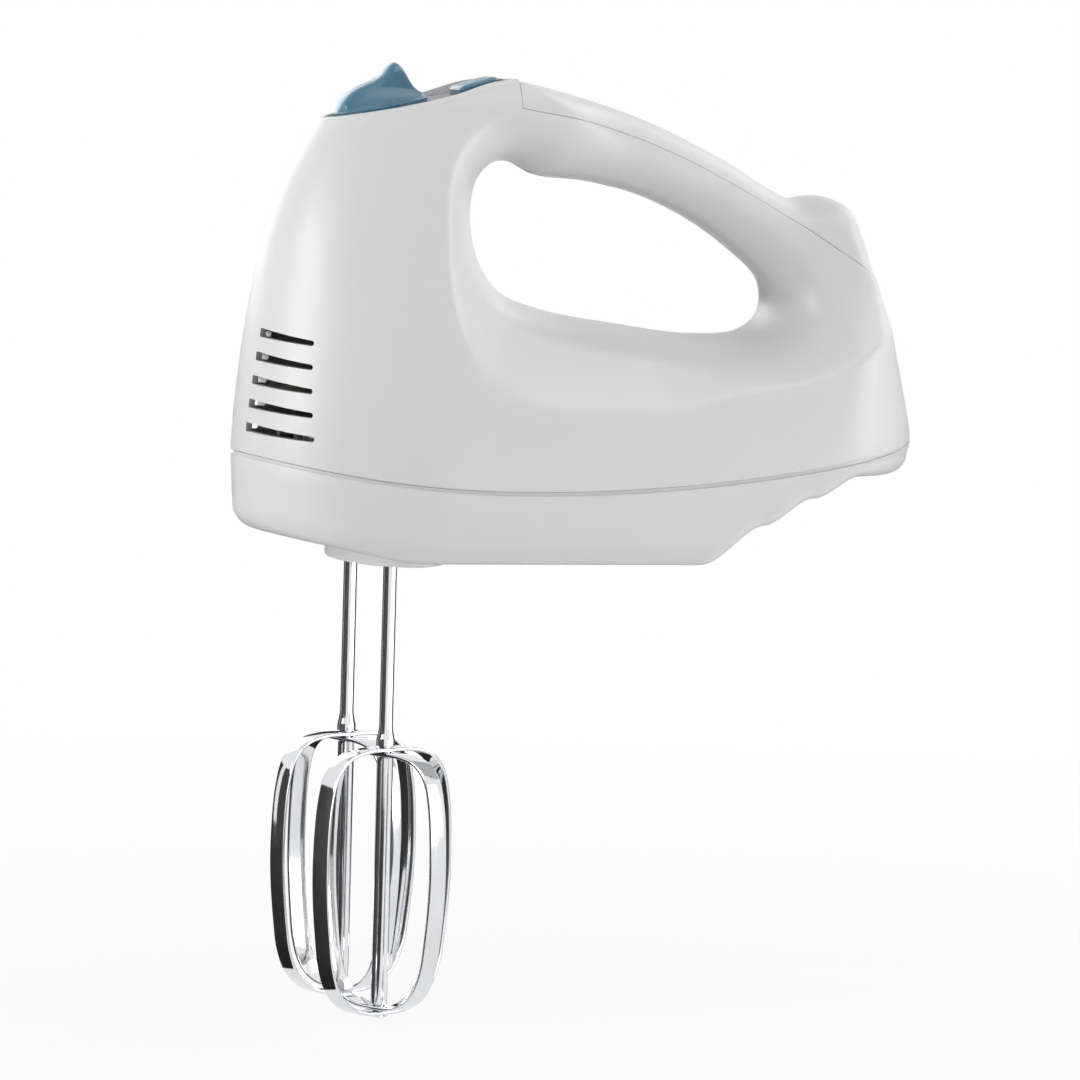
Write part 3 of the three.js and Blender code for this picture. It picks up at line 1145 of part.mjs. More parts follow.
piece("eject_fork", ejectFork(), NYLON);
piece("eject_spring", spring(FORK_X, 0, CARRIER_Z + CARRIER_PLATE + GAP, YOKE_Z - GAP, EJECT_SPRING), STEEL);
piece("gear_carrier", gearCarrier(), NYLON);

for (const [hand, side] of [["left", LEFT], ["right", RIGHT]]) {
  const y = side * BEATER_Y;
  const turn = PHASE[hand];
  piece(`eject_pin_${hand}`, ejectPin(y), STEEL);
  piece(`drive_gear_${hand}`, driveGear(side), NYLON);
  piece(`spindle_${hand}`, spindle(y, turn), STEEL);
  const bush = sleeve(0, y, SPINDLE_FOOT, BUSH_TOP, BUSH_OUTER, SPINDLE_RADIUS + RUN, 20);
  piece(`spindle_bush_${hand}`, bush, BRONZE);
  piece(`thrust_washer_${hand}`,
    sleeve(0, y, WASHER_LOW, WASHER_LOW + WASHER[1], WASHER[0], SPINDLE_RADIUS + RUN, 20), STEEL);
  piece(`beater_shaft_${hand}`, beaterShaft(y, turn), CHROME);
  piece(`beater_outer_strip_${hand}`, hoop(0, y, turn), CHROME);
  piece(`beater_inner_strip_${hand}`, hoop(STRIP + GAP, y, turn + Math.PI / 2), CHROME);
  piece(`field_coil_${hand}`, fieldCoil(side), COPPER);
  piece(`brush_${hand}`, brush(side), CARBON);
  piece(`brush_holder_${hand}`, brushHolder(side), BRONZE);
}

piece("armature_shaft", armatureShaft(), STEEL);
piece("armature_core", armatureCore(), STEEL);
piece("winding_front", ring(CORE_X[0] - GAP - WINDING[1], CORE_X[0] - GAP, WINDING[0], SHAFT_SEAT), COPPER);
piece("winding_rear", ring(CORE_X[1] + GAP, CORE_X[1] + GAP + WINDING[1], WINDING[0], SHAFT_SEAT), COPPER);
piece("commutator", ring(COMMUTATOR_X, COMMUTATOR_X + COMMUTATOR[1], COMMUTATOR[0], SHAFT_SEAT), COPPER);
piece("cooling_fan", coolingFan(), BLACK);
for (const [end, x] of [["front", FRONT_BEARING_X], ["rear", REAR_BEARING_X]]) {
  piece(`bearing_${end}`, ring(x, x + BEARING[1], BEARING[0], SHAFT_RADIUS + RUN), BRONZE);
}
piece("bracket_front", frontBracket(), STEEL);
piece("bracket_rear", rearBracket(), NYLON);
piece("stator_core", statorCore(), STEEL);

for (const [place, x, y] of screwPlaces) {
  piece(`housing_screw_${place}`, screw(x, y, headTop(x) - SCREW[2], seamZ(x) + SCREW_GRIP), STEEL);
}
for (const [place, x] of COVER_SCREWS) {
  const end = openingTop(x) + COVER_BOSS + COVER_SCREW_GRIP;
  piece(`cover_screw_${place}`, screw(x, 0, coverHeadTop(x) - SCREW[2], end), STEEL);
}

housingFrame.position.set(...GRIP_CENTRE.map((value) => -value));
const mixer = new THREE.Group();
mixer.add(housingFrame);

export default mixer;
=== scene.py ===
"""The look of a two-beater hand mixer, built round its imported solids.

Pieces are drawn in millimetres in the housing frame: x = 0 on the beater axes, z = 0 at the
beater sockets, the nose towards -X, the user's left at -Y. They are stored in metres, with
the origin in the middle of the hand grip.
"""

import math

import bmesh
import bpy
import numpy as np
from mathutils import Matrix, Vector


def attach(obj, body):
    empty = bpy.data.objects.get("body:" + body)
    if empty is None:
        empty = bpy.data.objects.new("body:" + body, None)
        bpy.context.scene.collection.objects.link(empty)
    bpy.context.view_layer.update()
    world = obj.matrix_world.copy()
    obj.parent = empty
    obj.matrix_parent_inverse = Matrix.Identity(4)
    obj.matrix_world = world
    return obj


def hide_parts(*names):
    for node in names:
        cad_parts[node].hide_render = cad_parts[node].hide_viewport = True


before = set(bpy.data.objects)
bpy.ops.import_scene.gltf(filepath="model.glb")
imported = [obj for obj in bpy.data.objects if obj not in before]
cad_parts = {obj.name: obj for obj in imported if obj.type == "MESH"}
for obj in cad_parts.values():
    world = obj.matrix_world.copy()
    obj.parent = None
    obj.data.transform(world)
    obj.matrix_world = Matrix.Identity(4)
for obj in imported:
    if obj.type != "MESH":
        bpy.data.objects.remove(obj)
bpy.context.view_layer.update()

# ---------------------------------------------------------------- fits, walls and form lines (mm)
GRIP = np.array([66.0, 0.0, 115.0])
WALL = 2.2
GROOVE = 1.1
GAP = 0.3
TRIM = 0.1
NOSE_LINE = [(-39.8, 20), (-39.2, 40), (-35.7, 71), (-31, 94), (-25.8, 108), (-17.5, 122.6)]
RIM_LINE = [(-17.5, 122.6), (0, 126.1), (15.6, 129.7), (26.9, 133.4), (34.5, 134.6)]
COVER_TOP = [(34.5, 134.6), (51.4, 131.2), (75, 124.2), (99, 113.5), (111, 106.5),
             (119, 103), (128, 103.9), (134, 101.4), (138, 93.8), (143, 79)]
COVER_SEAM = [(34.5, 126.6), (58, 122.5), (81.5, 114.7), (105.4, 102.9), (129.7, 88), (143, 79)]
REAR_LINE = [(143, 79), (147.1, 66), (150.4, 54.8), (154.7, 37), (155, 22)]
OPENING = [(24.5, 95), (26, 106), (31, 111), (37, 111.5), (45, 108), (60, 106.5), (75.5, 103), (90.5, 96.5),
           (103.5, 88), (113, 79), (113.5, 71), (107.5, 66), (91, 64.5), (69, 67), (47.5, 70.5), (34, 75.5),
           (27.5, 83.5)]
SIDE_HALF, SIDE_TAPER, SIDE_FOOT, SIDE_RISE, SIDE_POWER = 43, 21, 22, 101, 1.6
NOSE_DEPTH, NOSE_DEPTH_LOSS = 50, 0.2
NOSE_POWER, OPENING_POWER, STERN_POWER = 2, 2.3, 2.2  # roundness of the edges, 2 being a quarter ellipse
GRIP_HALF, OPENING_EDGE, CREASE = 16.5, 10, 0.8
DISH_SLOPES = [0.3, 0, 0, 0.36, 1.17, 0.88, 1.1, 1.75]
SHOULDER_LINE = [(-40, 98), (-25, 110.5), (-12.9, 117.3), (1.7, 124), (20.7, 127.4), (34.5, 126.6)]
SHOULDER_SLOPE, SHOULDER_SOFT, SHOULDER_FADE = 0.2, 0.5, 14
COVER_EDGE, COVER_EDGE_X, STERN_EDGE_GAIN = (1.7, 12, 8), (62, 108, 130), 0.7
SEAM_LOW, SEAM_RISE, SEAM_ENDS = (33, 21.8), (0.00153, 0.00102), (-39.6, 154.6)
FLOOR, FLOOR_NOSE = 2, (2, 0.19)
HEEL_STEPS = [(84, 103, 11), (102, 117, 7.6), (117, 131, 6)]
TRAY_EDGE, TRAY_DRAFT, TRAY_WALL = 6, 0.8, 3.4
LIP_FACE, LIP_WALL, LIP_RISE = WALL + 3 * GAP, 1.2, 2
RIM_CHAMFER = 1.4
VENT_COUNT, VENT_PITCH, VENT_TOP = 5, 6.5, 63.5
VENT_HEIGHT, VENT_TAIL, VENT_DROP, VENT_FRONT_Y, VENT_REAR_Y = 2.5, 1.5, 2.1, (9, 7.5), (26, 29.5)
DIAL_X, PANEL_TILT = -0.5, math.radians(12)
PANEL_SINK, PANEL_PLATE, PANEL_INSET, PANEL_END = 0.8, 1.4, 2.4, 33.6
DIAL_RADIUS, DIAL_SKIRT, DIAL_RIM, DIAL_WELL = 13.2, 1.6, 0.35, 13.7
FIN_LINE = [(-13.2, 0.2), (-12.4, 1.6), (-10.7, 3.9), (-7.4, 5.9), (-4.4, 6.8), (-1.3, 7.5),
            (1.3, 8.5), (3.2, 10.1), (4.9, 11.1), (6.2, 11.1), (7.4, 9.9), (8.3, 7.4),
            (9.3, 4.6), (10.8, 2.6), (12.4, 1.4), (13.2, 0.2)]
BURST_FROM, BURST_SIZE, BURST_PROUD, BURST_FALL = 21.9, (11.4, 13), 3.4, 0.9
BURST_MIDDLE, BURST_PLAY, BURST_CORNER = BURST_FROM + BURST_SIZE[0] / 2, 0.8, 2.2
BEATER_Y, CAGE_TOP, CAGE_TIP, STRIP_WIDTH, STRIP = 20, -50, -124, 5.9, 1.0
CAGE_LINE = [(8, -0.1), (15.6, -2), (20.2, -6.6), (22.6, -14.7), (23.7, -29), (23.5, -40),
             (22.2, -52), (20.7, -60.5), (17.8, -67), (13, -71.5), (7.5, -73.6)]
BEATER_SHAFT, BEATER_POST, BEATER_TOP = 1.9, 2.3, 40
LUG, LUG_Z = (3.9, 0.8), (14, 22)  # half length and thickness of a drive lug, and its height
PHASE = {"left": math.radians(27.5), "right": math.radians(22)}
SOCKET, PAD = 4.7, (4, 15, 31, 0.5, 6.2)
HOUSING_SCREWS = [("front", -22, 17), ("rear", 76, 32)]
COVER_SCREWS = [("front", 45), ("rear", 64)]
SCREW, SCREW_SINK = (1.5, 3, 2.2), 1.2
GLAND, GLAND_X, GLAND_Z = (5.6, 3.2, 7.2), (141.6, 151.3, 152.7), 51


# ---------------------------------------------------------------- lines
def line(points, closed=False, steps=48):
    """A centripetal curve through the points, as dense samples."""
    p = np.array(points, float)
    if closed:
        p = np.vstack([p[-1], p, p[0], p[1]])
    else:
        p = np.vstack([2 * p[0] - p[1], p, 2 * p[-1] - p[-2]])
    out = []
    for a, b, c, d in zip(p, p[1:], p[2:], p[3:]):
        da, db, dc = (max(np.linalg.norm(v), 1e-4) ** 0.5 for v in (b - a, c - b, d - c))
        m1 = ((b - a) / da - (c - a) / (da + db) + (c - b) / db) * db
        m2 = ((c - b) / db - (d - b) / (db + dc) + (d - c) / dc) * db
        t = np.arange(steps)[:, None] / steps
        out.append(b + m1 * t + (3 * (c - b) - 2 * m1 - m2) * t**2 + (2 * (b - c) + m1 + m2) * t**3)
    out.append(p[-2][None])
    return np.vstack(out)


def spaced(samples, fractions):
    """Places on a line at fractions of its length."""
    run = np.r_[0, np.cumsum(np.linalg.norm(np.diff(samples, axis=0), axis=1))]
    at = np.asarray(fractions) * run[-1]
    return np.stack([np.interp(at, run, samples[:, k]) for k in range(samples.shape[1])], 1)


def even(count):
    return np.linspace(0, 1, count + 1)


def eased(count):
    return (1 - np.cos(np.pi * even(count))) / 2


def smooth(t):
    t = np.clip(t, 0, 1)
    return t * t * (3 - 2 * t)


nose_samples, rim_samples = line(NOSE_LINE), line(RIM_LINE)
shoulder_samples = line(SHOULDER_LINE)
opening_samples = line(OPENING, closed=True, steps=24)
stern_samples = np.vstack([line(COVER_TOP, steps=24), line(REAR_LINE, steps=24)])
opening_centre = (opening_samples.max(0) + opening_samples.min(0)) / 2


def nose_x(z):
    return np.interp(z, nose_samples[:, 1], nose_samples[:, 0])


def rim_z(x):
    return np.interp(x, rim_samples[:, 0], rim_samples[:, 1])


def seam_z(x):
    rise = np.where(x < SEAM_LOW[0], *SEAM_RISE)
    return SEAM_LOW[1] + rise * (x - SEAM_LOW[0]) ** 2


def distance(samples, x, z):
    """Distance from each place to a line."""
    flat = np.stack([np.ravel(x), np.ravel(z)], 1)
    best = np.full(len(flat), np.inf)
    for a, b in zip(samples[:-1], samples[1:]):
        run = b - a
        f = np.clip((flat - a) @ run / max(run @ run, 1e-9), 0, 1)
        best = np.minimum(best, np.linalg.norm(flat - a - f[:, None] * run, axis=1))
    return best.reshape(np.shape(x))


def round_off(t, power):
    return (1 - (1 - np.clip(t, 0, 1)) ** power) ** (1 / power)


def dish_slope(x, z):
    turns = np.arctan2(z - opening_centre[1], x - opening_centre[0]) / (2 * np.pi) + 1
    place = (turns % 1) * len(DISH_SLOPES)
    low = np.floor(place).astype(int)
    slopes = np.array(DISH_SLOPES)
    f = smooth(place - low)
    return slopes[low % 8] * (1 - f) + slopes[(low + 1) % 8] * f


def half_width(x, z):
    """Half width of the body at a place on its side view."""
    x, z = np.asarray(x, float), np.asarray(z, float)
    side = SIDE_HALF - SIDE_TAPER * (np.maximum(0, z - SIDE_FOOT) / SIDE_RISE) ** SIDE_POWER
    depth = NOSE_DEPTH - NOSE_DEPTH_LOSS * (z - SIDE_FOOT)
    boat = side * round_off((x - nose_x(z)) / depth, NOSE_POWER)
    away = distance(opening_samples, x, z)
    dish = GRIP_HALF + dish_slope(x, z) * away
    front, grip, heel = COVER_EDGE
    top = front + (grip - front) * smooth((x - COVER_TOP[0][0]) / (COVER_EDGE_X[0] - COVER_TOP[0][0]))
    top += (heel - top) * smooth((x - COVER_EDGE_X[1]) / (COVER_EDGE_X[2] - COVER_EDGE_X[1]))
    edge = top + STERN_EDGE_GAIN * np.maximum(0, REAR_LINE[0][1] - z)
    stern = np.where(x > COVER_TOP[0][0] - COVER_EDGE[1], distance(stern_samples, x, z) / edge, 1)
    over = (z - np.interp(x, *shoulder_samples.T)) / SHOULDER_SOFT
    over = SHOULDER_SOFT * np.logaddexp(0, over) * (1 - smooth((x - COVER_TOP[0][0]) / SHOULDER_FADE))
    boat *= 1 - SHOULDER_SLOPE * over / side
    soft = -CREASE * np.logaddexp(-boat / CREASE, -dish / CREASE)
    return np.maximum(0, soft) * round_off(away / OPENING_EDGE, OPENING_POWER) * round_off(stern, STERN_POWER)


# ---------------------------------------------------------------- meshes
class Skin:
    """Points and faces of an open surface, which can be given a wall."""

    def __init__(self):
        self.points, self.faces = [], []

    def point(self, p):
        self.points.append(np.array(p, float))
        return len(self.points) - 1

    def face(self, *corners):
        kept = list(dict.fromkeys(int(c) for c in corners))
        if len(kept) > 2:
            self.faces.append(kept)

    def wall(self, back):
        """Adds the far side of the wall, a partner for each point, and closes the edges."""
        count = len(self.points)
        self.points += back
        edges = {}
        for f in self.faces:
            for p, q in zip(f, f[1:] + f[:1]):
                if (q, p) in edges:
                    del edges[(q, p)]
                else:
                    edges[(p, q)] = True
        self.faces += [[i + count for i in reversed(f)] for f in self.faces]
        self.faces += [[q, p, p + count, q + count] for p, q in edges]


def piece(name, points, faces, finish, sharp=35, smooth_shaded=True):
    """A mesh object from points in mm."""
    mesh = bpy.data.meshes.new(name)
    mesh.from_pydata(((np.array(points, float) - GRIP) / 1000).tolist(), [], faces)
    mesh.validate()
    mesh.update()
    if smooth_shaded:
        mesh.shade_smooth()
        mesh.set_sharp_from_angle(angle=math.radians(sharp))
    obj = bpy.data.objects.new(name, mesh)
    bpy.context.scene.collection.objects.link(obj)
    if finish:
        mesh.materials.append(finish)
    return obj


def loft(rings, cap_first=True, cap_last=True, closed=False):
    """Points and faces of a tube through rings of equal count."""
    count = len(rings[0])
    points = [p for ring in rings for p in ring]
    faces = []
    pairs = len(rings) if closed else len(rings) - 1
    for r in range(pairs):
        a, b = r * count, ((r + 1) % len(rings)) * count
        faces += [[a + i, a + (i + 1) % count, b + (i + 1) % count, b + i] for i in range(count)]
    if not closed and cap_first:
        faces.append(list(range(count))[::-1])
    if not closed and cap_last:
        faces.append(list(range(len(points) - count, len(points))))
    return points, faces


def turned(profile, count=48, centre=(0, 0, 0), axis="z"):
    """A solid of revolution from (radius, height) pairs, bottom to top."""
    rings = []
    angles = 2 * np.pi * np.arange(count) / count
    for r, h in profile:
        c, s = r * np.cos(angles), r * np.sin(angles)
        flat = np.full(count, float(h))
        ring = np.stack([c, s, flat], 1) if axis == "z" else np.stack([flat, c, s], 1)
        rings.append(ring + np.array(centre))
    return loft(rings)


def merged(*parts):
    points, faces = [], []
    for p, f in parts:
        base = len(points)
        points += list(p)
        faces += [[i + base for i in face] for face in f]
    return points, faces


def settle(obj):
    """Applies an object's modifiers to its mesh."""
    graph = bpy.context.evaluated_depsgraph_get()
    mesh = bpy.data.meshes.new_from_object(obj.evaluated_get(graph))
    obj.modifiers.clear()
    obj.data = mesh


def combine(obj, operation, points, faces):
    tool = piece("tool", points, faces, None, smooth_shaded=False)
    combine_objects(obj, operation, tool)


def combine_objects(obj, operation, tool):
    mod = obj.modifiers.new("solid", "BOOLEAN")
    mod.operation, mod.solver, mod.object = operation, "EXACT", tool
    settle(obj)
    bpy.data.objects.remove(tool)


def carve(obj, *groups):
    """Takes solids out of a piece. Within a group they stand apart, between groups they may meet."""
    tool = piece("tool", *groups[0], None, smooth_shaded=False)
    for points, faces in groups[1:]:
        combine(tool, "UNION", points, faces)
    combine_objects(obj, "DIFFERENCE", tool)
    shaded(obj, 35)


def shaded(obj, sharp):
    """Smooth shading, but for edges sharper than the given angle."""
    obj.data.shade_smooth()
    obj.data.set_sharp_from_angle(angle=math.radians(sharp))
    return obj


def unite(obj, *others):
    for points, faces in others:
        combine(obj, "UNION", points, faces)


# ---------------------------------------------------------------- form of the shells
SHELL_ROWS = 80  # from the grip opening to the edge
BLEND_COLUMNS = 14  # over which the spacing of the rows changes
FILLET = 0.12
BEAD = 0.9  # depth of the line between the housings
FILLET_TURNS = np.radians([30, 60, 90])
ROOF = 5.2  # head top above its inner face


def face_out(x, z):
    """Outward direction of the right side at each place, from the slope of the half width."""
    step = 0.04
    dx = (half_width(x + step, z) - half_width(x - step, z)) / (2 * step)
    dz = (half_width(x, z + step) - half_width(x, z - step)) / (2 * step)
    out = np.stack([-dx, np.ones_like(dx), -dz], -1)
    return out / np.linalg.norm(out, axis=-1)[..., None]


def level(out, keep=0.0):
    """The same directions with their rise taken away, but for a share of it."""
    flat = out * np.array([1, 1, 0]) + out * np.array([0, 0, 1]) * np.expand_dims(keep, -1)
    return flat / np.maximum(np.linalg.norm(flat, axis=-1), 1e-9)[..., None]


def flank(places, towards):
    """Directions square to a line of places in the side view, on the side of the given ones."""
    run = np.gradient(places, axis=0)
    square = np.stack([run[:, 1], 0 * run[:, 0], -run[:, 0]], 1)
    square /= np.maximum(np.linalg.norm(square, axis=1), 1e-9)[:, None]
    return square * np.sign(np.sum(square[:, [0, 2]] * towards, axis=1))[:, None]


def along(points, fractions):
    return spaced(line(points), fractions)


def opening_at(turns):
    return spaced(opening_samples, np.asarray(turns) % 1)


def outline():
    """Stretches round the side view: places, what ends there, and turns round the opening."""
    low = GROOVE / 2
    foot = (SEAM_ENDS[0], float(seam_z(SEAM_ENDS[0])) + low)
    nose = [foot] + [p for p in NOSE_LINE[:-1] if p[1] > foot[1]]
    top_z = RIM_LINE[0][1] - RIM_CHAMFER
    nose.append((float(nose_x(top_z)), top_z))
    rim_x = nose[-1][0] + (RIM_LINE[-1][0] - TRIM - nose[-1][0]) * (1 - np.cos(np.pi / 2 * even(38)))
    rim = np.stack([rim_x, rim_z(rim_x) - RIM_CHAMFER], 1)
    step = np.stack([np.full(7, rim[-1][0]), np.linspace(rim[-1][1], COVER_SEAM[0][1] - TRIM, 7)], 1)
    cover = along(COVER_SEAM, 1 - (1 - even(72)) ** 1.5) - [0, TRIM]
    cover[:, 0] = np.maximum(cover[:, 0], step[-1][0])
    rear = along([*REAR_LINE[:3], (SEAM_ENDS[1], float(seam_z(SEAM_ENDS[1])) + low)], even(26))
    seam_x = SEAM_ENDS[1] + (SEAM_ENDS[0] - SEAM_ENDS[1]) * eased(130)
    seam = np.stack([seam_x, seam_z(seam_x) + low], 1)
    return [("nose", along(nose, even(44)), -0.085, 0.05), ("rim", rim, 0.05, 0.08),
            ("step", step, 0.08, 0.095), ("cover", cover, 0.095, 0.49),
            ("rear", rear, 0.49, 0.56), ("seam", seam, 0.56, 0.915)]


def main_skin():
    """The upper housing from the grip opening out to its edges, with its wall."""
    kinds, outer, inner = [], [], []
    for kind, places, first, last in outline():
        count = len(places) - (0 if kind == "rim" else 1)
        start = 1 if kind == "step" else 0
        turns = first + (last - first) * np.arange(len(places)) / (len(places) - 1)
        kinds += [(kind, k == 0) for k in range(start, count)]
        outer.append(places[start:count])
        inner.append(opening_at(turns[start:count]))
    outer, inner = np.vstack(outer), np.vstack(inner)
    reach = np.linalg.norm(outer - inner, axis=1)
    count = len(kinds)
    shut = np.array([k in ("nose", "rear") or (first and k in ("rim", "seam")) for k, first in kinds])
    capped = np.array([k == "rim" for k, first in kinds])
    gap = np.abs(np.arange(count)[:, None] - np.flatnonzero(shut))
    near = np.minimum(gap, count - gap).min(1)
    soft = smooth(1 - near / BLEND_COLUMNS)
    rows = SHELL_ROWS
    f = even(rows)[None]
    rate = soft[:, None] * (1 - np.cos(np.pi * f)) / 2 + (1 - soft[:, None]) * (1 - np.cos(np.pi / 2 * f))
    rate = rate * np.where(shut | capped, 1, 1 - FILLET / reach)[:, None]
    base = inner[:, None] + (outer - inner)[:, None] * rate[..., None]
    y = half_width(base[..., 0], base[..., 1])
    y[:, 0] = 0
    y[shut, -1] = 0
    out = face_out(base[..., 0], base[..., 1])
    out[:, 0] = flank(inner, inner - outer)
    out[shut, -1] = flank(outer, outer - inner)[shut]
    end_y = np.where(shut, 0, half_width(outer[:, 0], outer[:, 1]))
    end = np.stack([outer[:, 0], end_y, outer[:, 1]], 1)
    end_out = level(face_out(outer[:, 0], outer[:, 1]))
    end_out[shut] = np.stack([np.sign(outer[shut, 0]), 0 * outer[shut, 0], 0 * outer[shut, 0]], 1)

    skin, back = Skin(), []
    left, right = np.zeros((count, rows + 4), int), np.zeros((count, rows + 4), int)

    def place(i, j, p, partner, single):
        right[i, j] = skin.point(p)
        back.append(partner)
        left[i, j] = right[i, j]
        if not single:
            left[i, j] = skin.point(p * [1, -1, 1])
            back.append(partner * [1, -1, 1])

    for i in range(count):
        edge = (1 - rate[i]) * reach[i]
        keep = smooth(edge / 6) if not shut[i] or kinds[i][1] else np.ones(rows + 1)
        inward = level(out[i], keep)
        for j in range(rows + 1):
            p = np.array([base[i, j, 0], y[i, j], base[i, j, 1]])
            single = j == 0 or (shut[i] and j == rows)
            move = inward[j] * ([1, 0, 1] if single else 1)
            partner = p - move / max(np.linalg.norm(move), 1e-9) * WALL
            partner[1] = max(partner[1], 0)
            partner[2] = min(partner[2], rim_z(p[0]) - ROOF)
            place(i, j, p, partner, single)
        radius = RIM_CHAMFER if capped[i] else FILLET
        for k, turn in enumerate(FILLET_TURNS):
            j = rows + 1 + k
            inside = end[i] - end_out[i] * WALL
            if capped[i]:
                p = end[i] + [0, 0, radius * np.sin(turn)] - end_out[i] * radius * (1 - np.cos(turn))
                inside[2] = rim_z(end[i, 0]) - ROOF
                place(i, j, p, inside, shut[i])
            elif shut[i]:
                left[i, j] = right[i, j] = right[i, rows]
            else:
                slide = np.append(inner[i] - outer[i], 0)[[0, 2, 1]] / reach[i]
                p = end[i] + slide * radius * (1 - np.sin(turn)) - end_out[i] * radius * (1 - np.cos(turn))
                place(i, j, p, inside, False)

    last = rows + 3
    for i in range(count):
        n = (i + 1) % count
        for j in range(rows if shut[i] and shut[n] else last):
            skin.face(left[i, j], left[n, j], left[n, j + 1], left[i, j + 1])
            skin.face(right[i, j], right[i, j + 1], right[n, j + 1], right[n, j])
    rim = np.flatnonzero(capped)
    for i, n in zip(rim, rim[1:]):
        skin.face(left[i, last], left[n, last], right[n, last], right[i, last])
    skin.wall(back)
    return skin


def plan_line(x, width, inset, closed_rear=True):
    """The right side of a plan outline, moved inwards."""
    y = width(x)
    y[0] = 0
    if closed_rear:
        y[-1] = 0
    dx, dy = np.gradient(x), np.gradient(y)
    dx[0], dy[0] = 0, 1
    if closed_rear:
        dx[-1], dy[-1] = 0, -1
    size = np.hypot(dx, dy)
    return np.stack([x + dy / size * inset, np.maximum(0, y - dx / size * inset)], 1)


def seam_width(x):
    return half_width(x, seam_z(x))


def rim_width(x):
    return half_width(x, rim_z(x) - RIM_CHAMFER)


def floor_z(x):
    rise = sum(h * smooth((x - a) / (b - a)) for a, b, h in HEEL_STEPS)
    return FLOOR + FLOOR_NOSE[1] * np.maximum(0, FLOOR_NOSE[0] - x) + rise


def tray_edge(x):
    return np.minimum(TRAY_EDGE, 0.8 * (seam_z(x) - GROOVE / 2 - floor_z(x)))


def tray_skin():
    """The lower housing: inside, tongue, groove, side and underside as rings round the plan."""
    stations = SEAM_ENDS[0] + (SEAM_ENDS[1] - SEAM_ENDS[0]) * (0.35 * eased(240) + 0.65 * even(240))
    stations[:2] = SEAM_ENDS[0] + np.array([0, 0.05])
    stations[-2:] = SEAM_ENDS[1] - np.array([0.05, 0])
    top = lambda x: seam_z(x) - GROOVE / 2
    thick = lambda x: floor_z(x) + TRAY_WALL
    rings = [
        (TRAY_DRAFT + TRAY_EDGE, thick),
        (LIP_FACE + LIP_WALL, lambda x: thick(x) + tray_edge(x) / 2),
        (LIP_FACE + LIP_WALL, lambda x: seam_z(x) + LIP_RISE),
        (LIP_FACE, lambda x: seam_z(x) + LIP_RISE),
        (LIP_FACE, lambda x: seam_z(x) + 0.4),
        (BEAD, lambda x: seam_z(x) + 0.4),
        (BEAD, top),
        (FILLET, top),
    ]
    for turn in np.radians([30, 60, 90]):
        rings.append((FILLET * (1 - math.sin(turn)), lambda x, t=turn: top(x) - FILLET * (1 - math.cos(t))))
    for f in (0.33, 0.66):
        rings.append((TRAY_DRAFT * f,
                      lambda x, f=f: (top(x) - FILLET) * (1 - f) + (floor_z(x) + tray_edge(x)) * f))
    for turn in np.linspace(0, np.pi / 2, 10):
        rings.append((TRAY_DRAFT + TRAY_EDGE * (1 - math.cos(turn)),
                      lambda x, t=turn: floor_z(x) + tray_edge(x) * (1 - math.sin(t))))
    skin = Skin()
    grid = []
    for inset, height in rings:
        plan = plan_line(stations, seam_width, inset)
        row = []
        for k, ((x, y), z) in enumerate(zip(plan, height(plan[:, 0]))):
            right = skin.point((x, 0.0 if k in (0, len(plan) - 1) else y, z))
            row.append((right, right) if k in (0, len(plan) - 1) else (skin.point((x, -y, z)), right))
        grid.append(row)
    for upper, lower in zip(grid, grid[1:]):
        for i in range(1, len(stations)):
            skin.face(upper[i - 1][0], lower[i - 1][0], lower[i][0], upper[i][0])
            skin.face(upper[i - 1][1], upper[i][1], lower[i][1], lower[i - 1][1])
    for i in range(1, len(stations)):
        inside, under = grid[0], grid[-1]
        skin.face(inside[i - 1][0], inside[i][0], inside[i][1], inside[i - 1][1])
        skin.face(under[i - 1][1], under[i][1], under[i][0], under[i - 1][0])
    return skin


